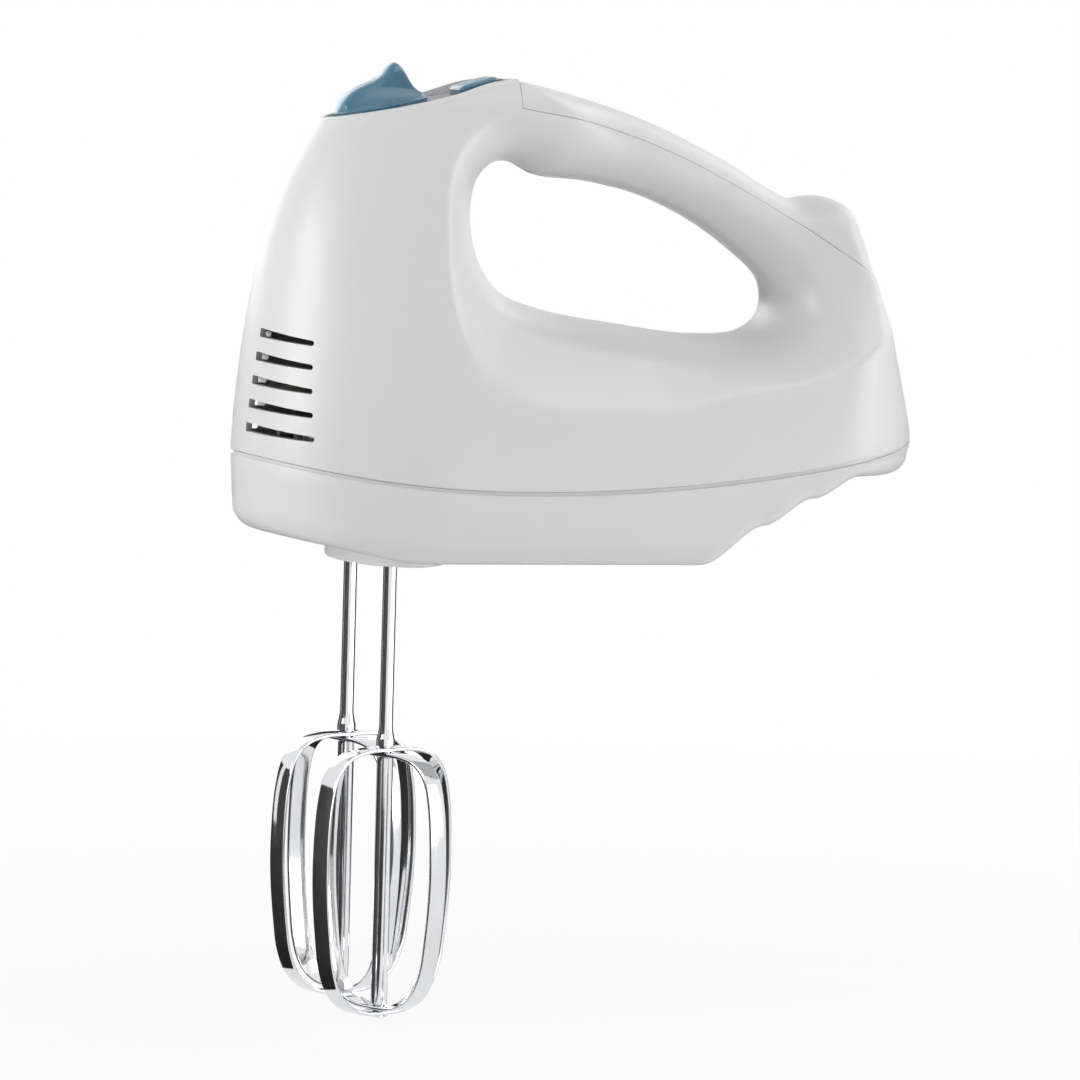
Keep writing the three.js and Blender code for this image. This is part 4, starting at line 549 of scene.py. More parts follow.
def cover_skin():
    """The handle cover between its seam and the ridge of the handle."""
    front = COVER_SEAM[0][0]
    crowd = 1 - (1 - even(110)) ** 1.5
    seam, top = along(COVER_SEAM, crowd), along(COVER_TOP, crowd)
    seam[:, 0] = np.maximum(seam[:, 0], front)
    top[:, 0] = np.maximum(top[:, 0], front)
    seam[-1] = top[-1]
    turns = FILLET_TURNS[::-1]
    which = np.r_[0, 0, 0, np.arange(len(seam))]
    sunk = np.r_[1 - np.cos(turns), np.zeros(len(seam))]
    forward = np.r_[1 - np.sin(turns), 1, np.zeros(len(seam) - 1)]
    seam, top = seam[which], top[which]
    reach = np.maximum(np.linalg.norm(top - seam, axis=1), 1e-6)
    fillet = np.minimum(FILLET, 0.2 * reach)
    rest = (fillet / reach)[:, None]
    share = np.hstack([rest * (1 - np.sin(turns)), rest + (1 - rest) * np.sin(np.pi / 2 * even(26))])
    drop = np.r_[1 - np.cos(turns), np.zeros(27)]
    spot = seam[:, None] + (top - seam)[:, None] * share[..., None]
    spot[..., 0] += FILLET * forward[:, None]
    x, z = spot[..., 0], spot[..., 1]
    z[:4, -1] = np.interp(x[:4, -1], top[3:, 0], top[3:, 1])
    y = half_width(x, z)
    y[:, -1] = 0
    out = face_out(x, z)
    ridge = np.stack([x[:, -1], z[:, -1]], 1)
    out[:, -1] = flank(ridge, np.tile([0.3, 1.0], (len(ridge), 1)))
    p = np.stack([x, y, z], -1) - level(out) * (fillet[:, None] * drop)[..., None]
    p -= out * (FILLET * sunk)[:, None, None]
    held = level(out, smooth(reach[:, None] * share / 5))
    held[:, -1] = out[:, -1]
    wall = np.minimum(WALL, 0.6 * COVER_EDGE[0] + 0.06 * (x - front) + 0.08 * reach[:, None])
    back_side = p - held * wall[..., None]
    back_side[:, :-1, 1] = np.maximum(back_side[:, :-1, 1], 0.05)
    back_side[:4, :, 0] = np.maximum(back_side[:4, :, 0], front)
    roof = np.interp(back_side[..., 0], *line(COVER_TOP)[:400].T)
    back_side[..., 2] = np.minimum(back_side[..., 2], roof - 0.8)

    skin, back, grid = Skin(), [], []
    for i in range(len(seam) - 1):
        row = []
        for j in range(share.shape[1]):
            right = skin.point(p[i, j])
            back.append(back_side[i, j])
            left = right
            if j < share.shape[1] - 1:
                left = skin.point(p[i, j] * [1, -1, 1])
                back.append(back_side[i, j] * [1, -1, 1])
            row.append((left, right))
        grid.append(row)
    tail = skin.point([seam[-1, 0], 0, seam[-1, 1]])
    back.append(np.array([seam[-1, 0] - WALL, 0, seam[-1, 1]]))
    grid.append([(tail, tail)] * share.shape[1])
    for a, b in zip(grid, grid[1:]):
        for j in range(len(a) - 1):
            skin.face(a[j][0], b[j][0], b[j + 1][0], a[j + 1][0])
            skin.face(a[j][1], a[j + 1][1], b[j + 1][1], b[j][1])
    skin.wall(back)
    return skin


# ---------------------------------------------------------------- housings and handle cover
def welded(obj):
    """Joins points that fall together and turns the faces outwards."""
    form = bmesh.new()
    form.from_mesh(obj.data)
    bmesh.ops.remove_doubles(form, verts=form.verts, dist=2e-6)
    bmesh.ops.dissolve_degenerate(form, edges=form.edges, dist=1e-7)
    bmesh.ops.recalc_face_normals(form, faces=form.faces)
    form.to_mesh(obj.data)
    form.free()
    return obj


def cylinder(radius, low, high, x=0.0, y=0.0, count=48):
    return turned([(radius, low), (radius, high)], count, (x, y, 0))


def rod(radius, front, rear, z, count=48):
    return turned([(radius, front), (radius, rear)], count, (0, 0, z), "x")


def prism(outline_points, low, high):
    """A straight-sided solid on an outline that runs counter-clockwise."""
    flat = np.array(outline_points, float)
    rings = [np.column_stack([flat, np.full(len(flat), float(h))]) for h in (low, high)]
    return loft(rings)


def on_panel(solid):
    """Moves a solid from the panel's plane into the housing frame."""
    points, faces = solid
    p = np.array(points, float)
    c, s = math.cos(PANEL_TILT), math.sin(PANEL_TILT)
    placed = np.stack([DIAL_X + p[:, 0] * c - p[:, 2] * s, p[:, 1],
                       rim_z(DIAL_X) + p[:, 0] * s + p[:, 2] * c], 1)
    return placed, faces


def panel_outline(inset, rear):
    """The panel's outline in its own plane."""
    start = float(nose_x(RIM_LINE[0][1] - RIM_CHAMFER))
    x = start + (rear - start) * (1 - np.cos(np.pi / 2 * even(60)))
    right = plan_line(x, rim_width, inset, closed_rear=False)
    right[:, 0] = np.minimum(right[:, 0], rear)
    t = (right[:, 0] - DIAL_X) / math.cos(PANEL_TILT)
    half = np.column_stack([t, right[:, 1]])
    return np.vstack([half[:1], (half * [1, -1])[1:], half[:0:-1]])


def rounded_box(length, width, radius, count=8):
    """A rounded rectangle about the origin, counter-clockwise."""
    points = []
    for k, (sx, sy) in enumerate([(1, 1), (-1, 1), (-1, -1), (1, -1)]):
        for t in np.linspace(0, np.pi / 2, count):
            a = k * np.pi / 2 + t
            points.append((sx * (length / 2 - radius) + radius * math.cos(a),
                           sy * (width / 2 - radius) + radius * math.sin(a)))
    return np.array(points)


def burst_opening(low, high):
    """The button's opening in the panel's plane."""
    corners = rounded_box(BURST_SIZE[0] + BURST_PLAY, BURST_SIZE[1] + BURST_PLAY, BURST_CORNER)
    return prism(corners + [BURST_MIDDLE, 0], low, high)


def vent(index, side):
    """The cutter of one vent: it follows the nose in plan and falls towards the rear."""
    z = VENT_TOP - index * VENT_PITCH
    depth = NOSE_DEPTH - NOSE_DEPTH_LOSS * (z - SIDE_FOOT)
    half = float(half_width(nose_x(z) + depth, z))
    share = index / (VENT_COUNT - 1)
    ends = []
    for highest, lowest in (VENT_FRONT_Y, VENT_REAR_Y):
        y = highest + (lowest - highest) * share
        ends.append(Vector((float(nose_x(z)) + depth * (1 - math.sqrt(1 - (y / half) ** 2)), side * y, z)))
    run = (ends[1] - ends[0])
    length = run.length
    run.normalize()
    up = Vector((0, 0, 1))
    across = run.cross(up)
    front = [(VENT_HEIGHT / 2 * 0.35 * (1 - math.cos(t)), VENT_HEIGHT / 2 * (1 - 0.35 * (1 - math.sin(t))))
             for t in np.linspace(np.pi / 2, 0, 4)]
    nose = [(a, b) for a, b in front] + [(a, -b) for a, b in front[::-1]]
    tail = [(length + VENT_TAIL / 2 * math.cos(t), -VENT_DROP + VENT_TAIL / 2 * math.sin(t))
            for t in np.linspace(-np.pi / 2, np.pi / 2, 9)]
    shape = nose + tail
    rings = [[tuple(ends[0] + run * a + up * b + across * d) for a, b in shape] for d in (-8, 8)]
    return loft(rings)


def opening_top(x):
    return float(np.interp(x, opening_samples[24:24 * 9, 0], opening_samples[24:24 * 9, 1]))


def main_housing():
    skin = main_skin()
    obj = welded(piece("upper_housing", skin.points, skin.faces, shell_white, smooth_shaded=False))
    well = PANEL_SINK + PANEL_PLATE + GAP
    cuts = [
        on_panel(prism(panel_outline(PANEL_INSET, PANEL_END), -well, 12)),
        on_panel(turned([(DIAL_WELL, -14), (DIAL_WELL, 2)], 96)),
        on_panel(burst_opening(-9, 2)),
        rod(GLAND[0] + GAP, GLAND_X[0] - 2, GLAND_X[2] + 2, GLAND_Z),
        turned([(GLAND[2] + GAP, GLAND_X[1] - GAP), (GLAND[2] + GAP, 164)], 64, (0, 0, GLAND_Z), "x"),
    ]
    vents = [vent(i, side) for i in range(VENT_COUNT) for side in (-1, 1)]
    holes = [cylinder(SCREW[1] + 0.4, opening_top(x) - 5, opening_top(x) + SCREW_SINK + SCREW[2], x)
             for _, x in COVER_SCREWS]
    carve(obj, merged(cuts[0], cuts[3], *vents, *holes), merged(cuts[1], cuts[4]), cuts[2])
    return obj


def bottom_housing():
    skin = tray_skin()
    obj = welded(piece("lower_housing", skin.points, skin.faces, shell_white, smooth_shaded=False))
    cx, along_x, along_y, low, high = PAD
    edge = [(1 - 0.8 / along_x, low), (1 - 0.25 / along_x, low + 0.2), (1, low + 0.7), (1, high - 1)]
    pad = turned(edge, 96)
    pad = (np.array(pad[0]) * [along_x, along_y, 1] + [cx, 0, 0], pad[1])
    unite(obj, pad)
    mouth = [(SOCKET + 0.9, low - 0.2), (SOCKET + 0.5, low + 0.1), (SOCKET, low + 0.9), (SOCKET, 9)]
    sockets = [turned(mouth, 64, (0, y, 0)) for y in (-BEATER_Y, BEATER_Y)]
    heads = []
    for _, x, y in HOUSING_SCREWS:
        foot = float(floor_z(x))
        for side in (-1, 1):
            heads.append(turned([(SCREW[1] + 0.9, foot - 0.6), (SCREW[1] + 0.4, foot + 0.4),
                                 (SCREW[1] + 0.4, foot + SCREW_SINK + SCREW[2])], 40, (x, side * y, 0)))
    carve(obj, merged(*sockets), merged(*heads))
    return obj


def handle_cover():
    skin = cover_skin()
    return shaded(welded(piece("handle_cover_skin", skin.points, skin.faces, shell_white)), 40)


# ---------------------------------------------------------------- panel, dial and button
def control_panel():
    """The plate set in the head, with rounded edges and holes for the dial and the button."""
    rings = []
    for turn in np.linspace(0, np.pi / 2, 5):
        inset = PANEL_INSET + GAP + 0.5 * (1 - math.cos(turn))
        height = -PANEL_SINK - 0.5 * (1 - math.sin(turn))
        shape = panel_outline(inset, PANEL_END - GAP - 0.5 * (1 - math.cos(turn)))
        rings.append(np.column_stack([shape, np.full(len(shape), height)]))
    first = rings[0].copy()
    first[:, 2] = -PANEL_SINK - PANEL_PLATE
    points, faces = loft([first, *rings])
    obj = welded(piece("panel_plate", *on_panel((points, faces)), panel_grey, smooth_shaded=False))
    hole = turned([(DIAL_WELL, -4), (DIAL_WELL, -PANEL_SINK - 0.35), (DIAL_WELL + 0.5, -PANEL_SINK + 0.15),
                   (DIAL_WELL + 0.5, 3)], 96)
    carve(obj, merged(on_panel(hole)), merged(on_panel(burst_opening(-4, 3))))
    return obj


def crest(t):
    """Height of the dial's grip ridge along its length."""
    samples = line(FIN_LINE)
    return np.interp(t, samples[:, 0], samples[:, 1])


def speed_dial():
    """A turning knob: a ridge to grip, scooped flanks that meet the rim, a skirt and a stem."""
    along_t = DIAL_RADIUS * np.sin(np.linspace(-np.pi / 2, np.pi / 2, 121))
    along_t[0], along_t[-1] = -DIAL_RADIUS + 1e-3, DIAL_RADIUS - 1e-3
    skin, grid = Skin(), []
    for t in along_t:
        chord = math.sqrt(max(DIAL_RADIUS**2 - t * t, 1e-4))
        top = max(float(crest(t)), 0.25)
        half = 4.6 * min(1, (chord / 7.5)) ** 0.8
        bump = max(0.0, 1 - (t / 12.4) ** 2)
        arch = min(0.55 + 4.6 * bump ** 0.85, 0.86 * top)
        round_t = min(half, 0.5 * (top - arch) + 0.4)
        row = []
        for k in np.linspace(0, np.pi / 2, 12):  # over the ridge
            row.append(((half - round_t) * (k / (np.pi / 2)) ** 0.6 + round_t * math.sin(k) if k else 0.0,
                        top - round_t * (1 - math.cos(k)) * 0.9))
        bottom = row[-1][1]
        for k in (0.35, 0.7, 1.0):  # down its side to the lip of the scoop
            row.append((half + 0.5 * k * min(1, chord / 9), bottom + (arch - bottom) * k))
        lip = row[-1]
        rim = DIAL_RIM
        for k in np.linspace(0.06, 1, 16):  # the scoop, steep at first
            row.append((lip[0] + (chord - lip[0]) * k, rim + (arch - rim) * (1 - k) ** 2.6))
        ids = []
        for y, h in row:
            y = min(y, chord)
            if y == 0.0:
                ids.append((skin.point((t, 0, h)),) * 2)
            else:
                ids.append((skin.point((t, -y, h)), skin.point((t, y, h))))
        for drop in (0.12, 0.6, DIAL_SKIRT + rim):
            ids.append((skin.point((t, -chord, rim - drop)), skin.point((t, chord, rim - drop))))
        grid.append(ids)
    for a, b in zip(grid, grid[1:]):
        for j in range(len(a) - 1):
            skin.face(a[j][0], a[j + 1][0], b[j + 1][0], b[j][0])
            skin.face(a[j][1], b[j][1], b[j + 1][1], a[j + 1][1])
        skin.face(a[-1][0], a[-1][1], b[-1][1], b[-1][0])
    for end, flip in ((grid[0], 1), (grid[-1], -1)):
        ring = [pair[0] for pair in end] + [pair[1] for pair in end[::-1]]
        skin.face(*ring[::flip])
    stem = turned([(3, -40), (3, -DIAL_SKIRT + 0.2)], 32)
    key = prism([(-4.1, -0.8), (4.1, -0.8), (4.1, 0.8), (-4.1, 0.8)], -15, -8)
    obj = welded(piece("dial_knob", *on_panel((skin.points, skin.faces)), dial_blue, smooth_shaded=False))
    unite(obj, on_panel(stem), on_panel(key))
    return shaded(obj, 42)


def burst_button():
    """A low pad with rounded corners and a crowned top, on a flange and a short stem."""
    top = BURST_PROUD - PANEL_SINK
    rings = []
    for height, inset in ((-5.4, 0), (top - 1.2, 0)):
        rings.append((height, inset))
    for turn in np.linspace(0.15, np.pi / 2, 7):
        rings.append((top - 1.2 + 1.2 * math.sin(turn) - 0.25, 1.2 * (1 - math.cos(turn))))
    for inset in (2.2, 3.4, 4.6):
        rings.append((top - 0.25 + 0.25 * math.sin(inset / 5.4 * np.pi / 2), inset))
    loops = []
    for height, inset in rings:
        shape = rounded_box(BURST_SIZE[0] - 2 * inset, BURST_SIZE[1] - 2 * inset, max(2 - inset * 0.35, 0.4))
        fall = BURST_FALL * (0.5 - shape[:, 0] / BURST_SIZE[0]) * (height > 0)
        loops.append(np.column_stack([shape + [BURST_MIDDLE, 0], height - fall]))
    pad = loft(loops)
    flange = prism(rounded_box(BURST_SIZE[0] + 2, BURST_SIZE[1] + 2, 2.5) + [BURST_MIDDLE, 0], -5.9, -4.9)
    stem = cylinder(1.2, -9.7, -5.2, BURST_MIDDLE, 0, 24)
    obj = welded(piece("burst_pad", *on_panel(pad), dial_blue, smooth_shaded=False))
    unite(obj, on_panel(flange), on_panel(stem))
    return shaded(obj, 42)


# ---------------------------------------------------------------- beaters
def hoop(name, inset, y, turn):
    """A bent strip with rounded edges, pierced where the shaft's neck goes through."""
    path = line([(0, 0), *CAGE_LINE, (0, CAGE_TIP - CAGE_TOP)])
    side = spaced(path, even(90))
    run = np.gradient(side, axis=0)
    run /= np.linalg.norm(run, axis=1)[:, None]
    inward = np.stack([run[:, 1], -run[:, 0]], 1)
    inward[0], inward[-1] = (0, -1), (0, 1)
    section = rounded_box(STRIP, STRIP_WIDTH, 0.38, 5)
    rings = []
    for mirror, order in ((1, range(91)), (-1, range(89, 0, -1))):
        for k in order:
            ring = []
            for depth, across in section:
                r, z = side[k] + inward[k] * (inset + STRIP / 2 + depth)
                ring.append((mirror * r, across, CAGE_TOP + z))
            rings.append(ring)
    points, faces = loft(rings, closed=True)
    p = np.array(points)
    c, s = math.cos(turn), math.sin(turn)
    placed = np.stack([p[:, 0] * c - p[:, 1] * s, y + p[:, 0] * s + p[:, 1] * c, p[:, 2]], 1)
    obj = welded(piece(name, placed, faces, chrome, smooth_shaded=False))
    carve(obj, cylinder(1.5 + GAP, CAGE_TIP - 9, CAGE_TOP + 9, 0, y, 32))
    return obj


def beater_shaft(name, y, turn):
    stack = 2 * STRIP + 3 * GAP
    lower = CAGE_TIP + stack - GAP
    upper = CAGE_TOP - stack + GAP
    profile = [
        (0.01, CAGE_TIP - GAP - 0.7), (1.4, CAGE_TIP - GAP - 0.62), (2.2, CAGE_TIP - GAP - 0.42),
        (2.6, CAGE_TIP - GAP - 0.16), (2.7, CAGE_TIP - GAP), (1.5, CAGE_TIP - GAP), (1.5, lower),
        (2.0, lower), (BEATER_POST, lower + 0.3), (BEATER_POST, upper - 0.3), (2.0, upper), (1.5, upper),
        (1.5, CAGE_TOP + GAP), (2.35, CAGE_TOP + GAP), (2.6, CAGE_TOP + GAP + 0.25), (2.6, CAGE_TOP + 2.1),
        (2.5, CAGE_TOP + 2.6), (2.25, CAGE_TOP + 3.6), (2.0, CAGE_TOP + 5), (BEATER_SHAFT, CAGE_TOP + 6),
        (BEATER_SHAFT, BEATER_TOP - 1.1), (BEATER_SHAFT - 0.12, BEATER_TOP - 0.6),
        (BEATER_SHAFT - 0.45, BEATER_TOP - 0.1), (BEATER_SHAFT - 0.7, BEATER_TOP),
    ]
    obj = welded(piece(name, *turned(profile, 56, (0, y, 0)), chrome, smooth_shaded=False))
    for quarter in (0, np.pi / 2):
        c, s = math.cos(turn + quarter), math.sin(turn + quarter)
        corners = [(-LUG[0], -LUG[1]), (LUG[0], -LUG[1]), LUG, (-LUG[0], LUG[1])]
        blade = [(c * a - s * b, y + s * a + c * b) for a, b in corners]
        unite(obj, prism(blade, *LUG_Z))
    return shaded(obj, 35)


# ---------------------------------------------------------------- fasteners and cord inlet
def cross_screw(name, x, y, head_low, end):
    """A pan-head screw seen from below, with a cross recess."""
    radius, height = SCREW[1], SCREW[2]
    profile = [(0.01, head_low), (1.6, head_low + 0.05), (2.4, head_low + 0.3), (2.85, head_low + 0.8),
               (radius, head_low + 1.3), (radius, head_low + height), (SCREW[0], head_low + height)]
    turns = int((end - head_low - height) / 0.9)
    for k in range(turns):
        low = head_low + height + 0.9 * k
        profile += [(SCREW[0] - 0.25, low + 0.2), (SCREW[0], low + 0.5), (SCREW[0] - 0.25, low + 0.8)]
    profile += [(0.4, end)]
    obj = welded(piece(name, *turned(profile, 36, (x, y, 0)), steel, smooth_shaded=False))
    for quarter in (0.4, 0.4 + np.pi / 2):
        c, s = math.cos(quarter), math.sin(quarter)
        rings = []
        for level_z, reach, half in ((head_low - 0.5, 1.75, 0.42), (head_low + 1.5, 0.7, 0.22)):
            rings.append([(x + c * a * reach - s * b * half, y + s * a * reach + c * b * half, level_z)
                          for a, b in ((-1, -1), (1, -1), (1, 1), (-1, 1))])
        carve(obj, loft(rings))
    return obj


def cord_gland():
    """The bushing that lines the cord's inlet, a collar with a rolled flange and a bore."""
    outer, bore, flange = GLAND
    inner_end, face, outer_end = GLAND_X
    profile = [(bore, inner_end + 0.4), (bore + 0.4, inner_end), (outer, inner_end), (outer, face),
               (flange - 0.2, face), (flange, face + 0.3), (flange - 0.05, face + 0.8),
               (flange - 0.45, outer_end - 0.15), (flange - 1, outer_end), (bore + 1, outer_end),
               (bore + 0.35, outer_end - 0.25), (bore, outer_end - 0.9)]
    rings = []
    angles = 2 * np.pi * np.arange(64) / 64
    for r, h in profile:
        rings.append(np.stack([np.full(64, h), r * np.cos(angles), GLAND_Z + r * np.sin(angles)], 1))
    points, faces = loft(rings, closed=True)
    obj = welded(piece("gland_collar", points, faces, shell_white))
    obj.data.set_sharp_from_angle(angle=math.radians(40))
    return obj


# ---------------------------------------------------------------- finishes
class Value:
    """A number that runs through a finish's nodes; arithmetic on it adds Math nodes."""

    def __init__(self, finish, socket):
        self.finish, self.socket = finish, socket

    def sum(self, operation, a, b):
        return self.finish.node("ShaderNodeMath", {"operation": operation}, {0: a, 1: b})

    def __add__(self, other):
        return self.sum("ADD", self, other)

    def __radd__(self, other):
        return self.sum("ADD", other, self)

    def __sub__(self, other):
        return self.sum("SUBTRACT", self, other)

    def __rsub__(self, other):
        return self.sum("SUBTRACT", other, self)

    def __mul__(self, other):
        return self.sum("MULTIPLY", self, other)

    def __rmul__(self, other):
        return self.sum("MULTIPLY", other, self)

    def __truediv__(self, other):
        return self.sum("DIVIDE", self, other)

    def __pow__(self, other):
        return self.sum("POWER", self, other)


class Finish:
    """A material under construction."""

    def __init__(self, name, **constants):
        self.material = bpy.data.materials.new(name)
        self.material.use_nodes = True
        self.tree = self.material.node_tree
        self.shader = self.tree.nodes["Principled BSDF"]
        for socket, value in constants.items():
            self.shader.inputs[socket.replace("_", " ")].default_value = value
        self.place = self.node("ShaderNodeTexCoord", {}, {}, "Object")

    def node(self, kind, settings, inputs, output=0):
        """Adds a node, sets it up, feeds its sockets and gives one of its outputs."""
        made = self.tree.nodes.new(kind)
        for key, value in settings.items():
            if key == "stops":
                while len(made.color_ramp.elements) < len(value):
                    made.color_ramp.elements.new(1)
                for element, (at, colour) in zip(made.color_ramp.elements, value):
                    element.position, element.color = at, (*colour, 1)
            else:
                setattr(made, key, value)
        for key, value in inputs.items():
            if isinstance(value, Value):
                self.tree.links.new(value.socket, made.inputs[key])
            else:
                made.inputs[key].default_value = value
        return Value(self, made.outputs[output])

    def feed(self, socket, value):
        self.tree.links.new(value.socket, self.shader.inputs[socket])

    def noise(self, scale, detail=3.0, rough=0.55, stretch=None):
        place = self.place
        if stretch:
            place = self.node("ShaderNodeMapping", {}, {"Vector": place, "Scale": stretch})
        return self.node("ShaderNodeTexNoise", {}, {
            "Vector": place, "Scale": scale, "Detail": detail, "Roughness": rough})

    def ranged(self, value, low, high, to_low, to_high):
        return self.node("ShaderNodeMapRange", {"clamp": True}, {
            "Value": value, "From Min": low, "From Max": high, "To Min": to_low, "To Max": to_high})

    def tint(self, factor, first, second):
        """A colour between two, each a colour or a link."""
        inputs = {0: factor}
        for slot, colour in ((6, first), (7, second)):
            inputs[slot] = colour if isinstance(colour, Value) else (*colour, 1)
        return self.node("ShaderNodeMix", {"data_type": "RGBA"}, inputs, 2)

    def edges(self, low=0.52, high=0.6):
        """A mask of worn convex edges."""
        point = self.node("ShaderNodeNewGeometry", {}, {}, "Pointiness")
        return self.ranged(point, low, high, 0, 1)

    def bump(self, height, strength, distance):
        return self.node("ShaderNodeBump", {}, {"Height": height, "Strength": strength, "Distance": distance})


def moulded(name, colour, shade, worn, rough, grain, coat=0.0, **constants):
    """Moulded plastic: cloudy colour, pale rubbed edges, a fine grain and uneven gloss."""
    f = Finish(name, **constants)
    cloud = f.noise(28, 4)
    fine = f.noise(grain[0], 2)
    smear = f.noise(70, 5, 0.6, (1, 1, 0.35))
    body = f.tint(f.ranged(cloud, 0.3, 0.7, 0, 1), colour, shade)
    f.feed("Base Color", f.tint(f.edges(0.56, 0.68) * 0.3, body, worn))
    f.feed("Roughness", f.ranged(smear, 0.3, 0.7, rough[0], rough[1]) + f.edges(0.56, 0.68) * 0.04)
    f.feed("Normal", f.bump(fine, grain[1], 0.0002))
    if coat:
        f.feed("Coat Weight", f.ranged(smear, 0.3, 0.75, coat, coat * 0.8))
    return f.material


def metal(name, colour, shade, rough, marks, grain, edge):
    """Bare or plated metal: drawn or turned marks, dulled patches and bright edges."""
    f = Finish(name, Metallic=1.0)
    streak = f.noise(marks[0], 3, 0.6, marks[1])
    cloud = f.noise(60, 5)
    body = f.tint(f.ranged(cloud, 0.35, 0.7, 0, 1), colour, shade)
    f.feed("Base Color", f.tint(f.edges() * 0.6, body, edge))
    f.feed("Roughness", f.ranged(streak * 0.6 + cloud * 0.4, 0.35, 0.65, rough[0], rough[1]))
    f.feed("Normal", f.bump(streak, grain, 0.0001))
    return f.material


def copper_wire():
    """Enamelled wire laid side by side, with painted shade in the hollows between the turns."""
    f = Finish("enamelled copper wire", Metallic=0.85)
    turns = f.node("ShaderNodeTexWave", {"bands_direction": "Y"}, {
        "Vector": f.place, "Scale": 420, "Distortion": 0.4})
    cloud = f.noise(90, 4)
    body = f.tint(f.ranged(cloud, 0.35, 0.65, 0, 1), (0.50, 0.17, 0.06), (0.36, 0.10, 0.035))
    # the colour goes dark in the low part of each band: painted shade between the turns of wire
    f.feed("Base Color", f.tint(turns, (0.13, 0.035, 0.015), body))
    f.feed("Roughness", f.ranged(cloud, 0.3, 0.7, 0.22, 0.4))
    f.feed("Normal", f.bump(turns, 0.6, 0.0003))
    return f.material


def circuit_green():
    """Solder-masked board with buried tracks."""
    f = Finish("green circuit board", Specular_IOR_Level=0.5)
    tracks = f.node("ShaderNodeTexBrick", {"offset": 0.37}, {
        "Vector": f.place, "Scale": 160, "Mortar Size": 0.09, "Brick Width": 0.9, "Row Height": 0.3,
        "Color1": (0, 0, 0, 1), "Color2": (0, 0, 0, 1), "Mortar": (1, 1, 1, 1)}, "Fac")
    cloud = f.noise(80, 3)
    base = f.tint(f.ranged(cloud, 0.3, 0.7, 0, 1), (0.02, 0.12, 0.045), (0.03, 0.16, 0.06))
    f.feed("Base Color", f.tint(tracks * 0.6, base, (0.08, 0.28, 0.10)))
    f.feed("Roughness", f.ranged(cloud, 0.3, 0.7, 0.3, 0.45))
    f.feed("Normal", f.bump(tracks, 0.4, 0.0001))
    return f.material


shell_white = moulded("white moulded shell", (0.79, 0.79, 0.788), (0.778, 0.778, 0.776), (0.84, 0.84, 0.836),
                      (0.36, 0.42), (2600, 0.02), 0.1, Coat_Roughness=0.2)
dial_blue = moulded("glossy blue plastic", (0.060, 0.195, 0.285), (0.050, 0.170, 0.255), (0.15, 0.35, 0.46),
                    (0.28, 0.36), (2200, 0.03), 0.2, Coat_Roughness=0.1)
panel_grey = moulded("mauve grey plastic", (0.235, 0.225, 0.26), (0.20, 0.19, 0.225), (0.34, 0.33, 0.36),
                     (0.38, 0.5), (3200, 0.08))
nylon = moulded("natural nylon", (0.62, 0.59, 0.51), (0.56, 0.53, 0.45), (0.74, 0.72, 0.66),
                (0.4, 0.55), (2400, 0.08), Subsurface_Weight=0.1)
black_plastic = moulded("black moulded plastic", (0.018, 0.018, 0.02), (0.026, 0.026, 0.028),
                        (0.10, 0.10, 0.105), (0.42, 0.58), (2800, 0.16))
carbon = moulded("pressed carbon", (0.022, 0.022, 0.024), (0.04, 0.04, 0.042), (0.09, 0.09, 0.09),
                 (0.55, 0.8), (3600, 0.3))
chrome = metal("bright chrome plate", (0.78, 0.79, 0.81), (0.70, 0.71, 0.735), (0.045, 0.11),
               (900, (1, 1, 0.06)), 0.03, (0.92, 0.92, 0.93))
steel = metal("ground steel", (0.46, 0.465, 0.475), (0.36, 0.365, 0.375), (0.26, 0.42),
              (1400, (0.08, 1, 1)), 0.16, (0.66, 0.665, 0.67))
bronze = metal("sintered bronze", (0.42, 0.27, 0.11), (0.30, 0.19, 0.08), (0.32, 0.5),
               (2600, (1, 1, 1)), 0.22, (0.60, 0.42, 0.20))
copper = copper_wire()
board = circuit_green()
FINISHES = {"shell": shell_white, "dial_blue": dial_blue, "panel_grey": panel_grey, "chrome": chrome,
            "steel": steel, "bronze": bronze, "copper": copper, "nylon": nylon,
            "black_plastic": black_plastic, "carbon": carbon, "board": board}

# ---------------------------------------------------------------- the pieces and what carries them
made = [
    (main_housing(), "housing", "shell", ["main_housing"]),
    (bottom_housing(), "housing", "shell", ["bottom_housing"]),
    (handle_cover(), "housing", "shell", ["handle_cover"]),
    (control_panel(), "housing", "panel_grey", ["control_panel"]),
    (speed_dial(), "dial", "dial_blue", ["speed_dial"]),
    (burst_button(), "burst", "dial_blue", ["burst_button"]),
    (cord_gland(), "housing", "shell", ["cord_gland"]),
]
for hand, side in (("left", -1), ("right", 1)):
    y, turn = side * BEATER_Y, PHASE[hand]
    made += [
        (beater_shaft(f"beater_stem_{hand}", y, turn), f"beater_{hand}", "chrome", [f"beater_shaft_{hand}"]),
        (hoop(f"outer_hoop_{hand}", 0, y, turn), f"beater_{hand}", "chrome", [f"beater_outer_strip_{hand}"]),
        (hoop(f"inner_hoop_{hand}", STRIP + GAP, y, turn + math.pi / 2), f"beater_{hand}", "chrome",
         [f"beater_inner_strip_{hand}"]),
    ]
for end, x, y in HOUSING_SCREWS:
    foot = float(floor_z(x)) + SCREW_SINK
    for hand, side in (("left", -1), ("right", 1)):
        made.append((cross_screw(f"tray_screw_{end}_{hand}", x, side * y, foot, float(seam_z(x)) + 10),
                     "housing", "steel", [f"housing_screw_{end}_{hand}"]))
for end, x in COVER_SCREWS:
    foot = opening_top(x) + SCREW_SINK
    made.append((cross_screw(f"handle_screw_{end}", x, 0, foot, opening_top(x) + 15),
                 "housing", "steel", [f"cover_screw_{end}"]))
for obj, body, slot, nodes in made:
    if not obj.data.materials:
        obj.data.materials.append(FINISHES[slot])
    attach(obj, body)
    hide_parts(*nodes)

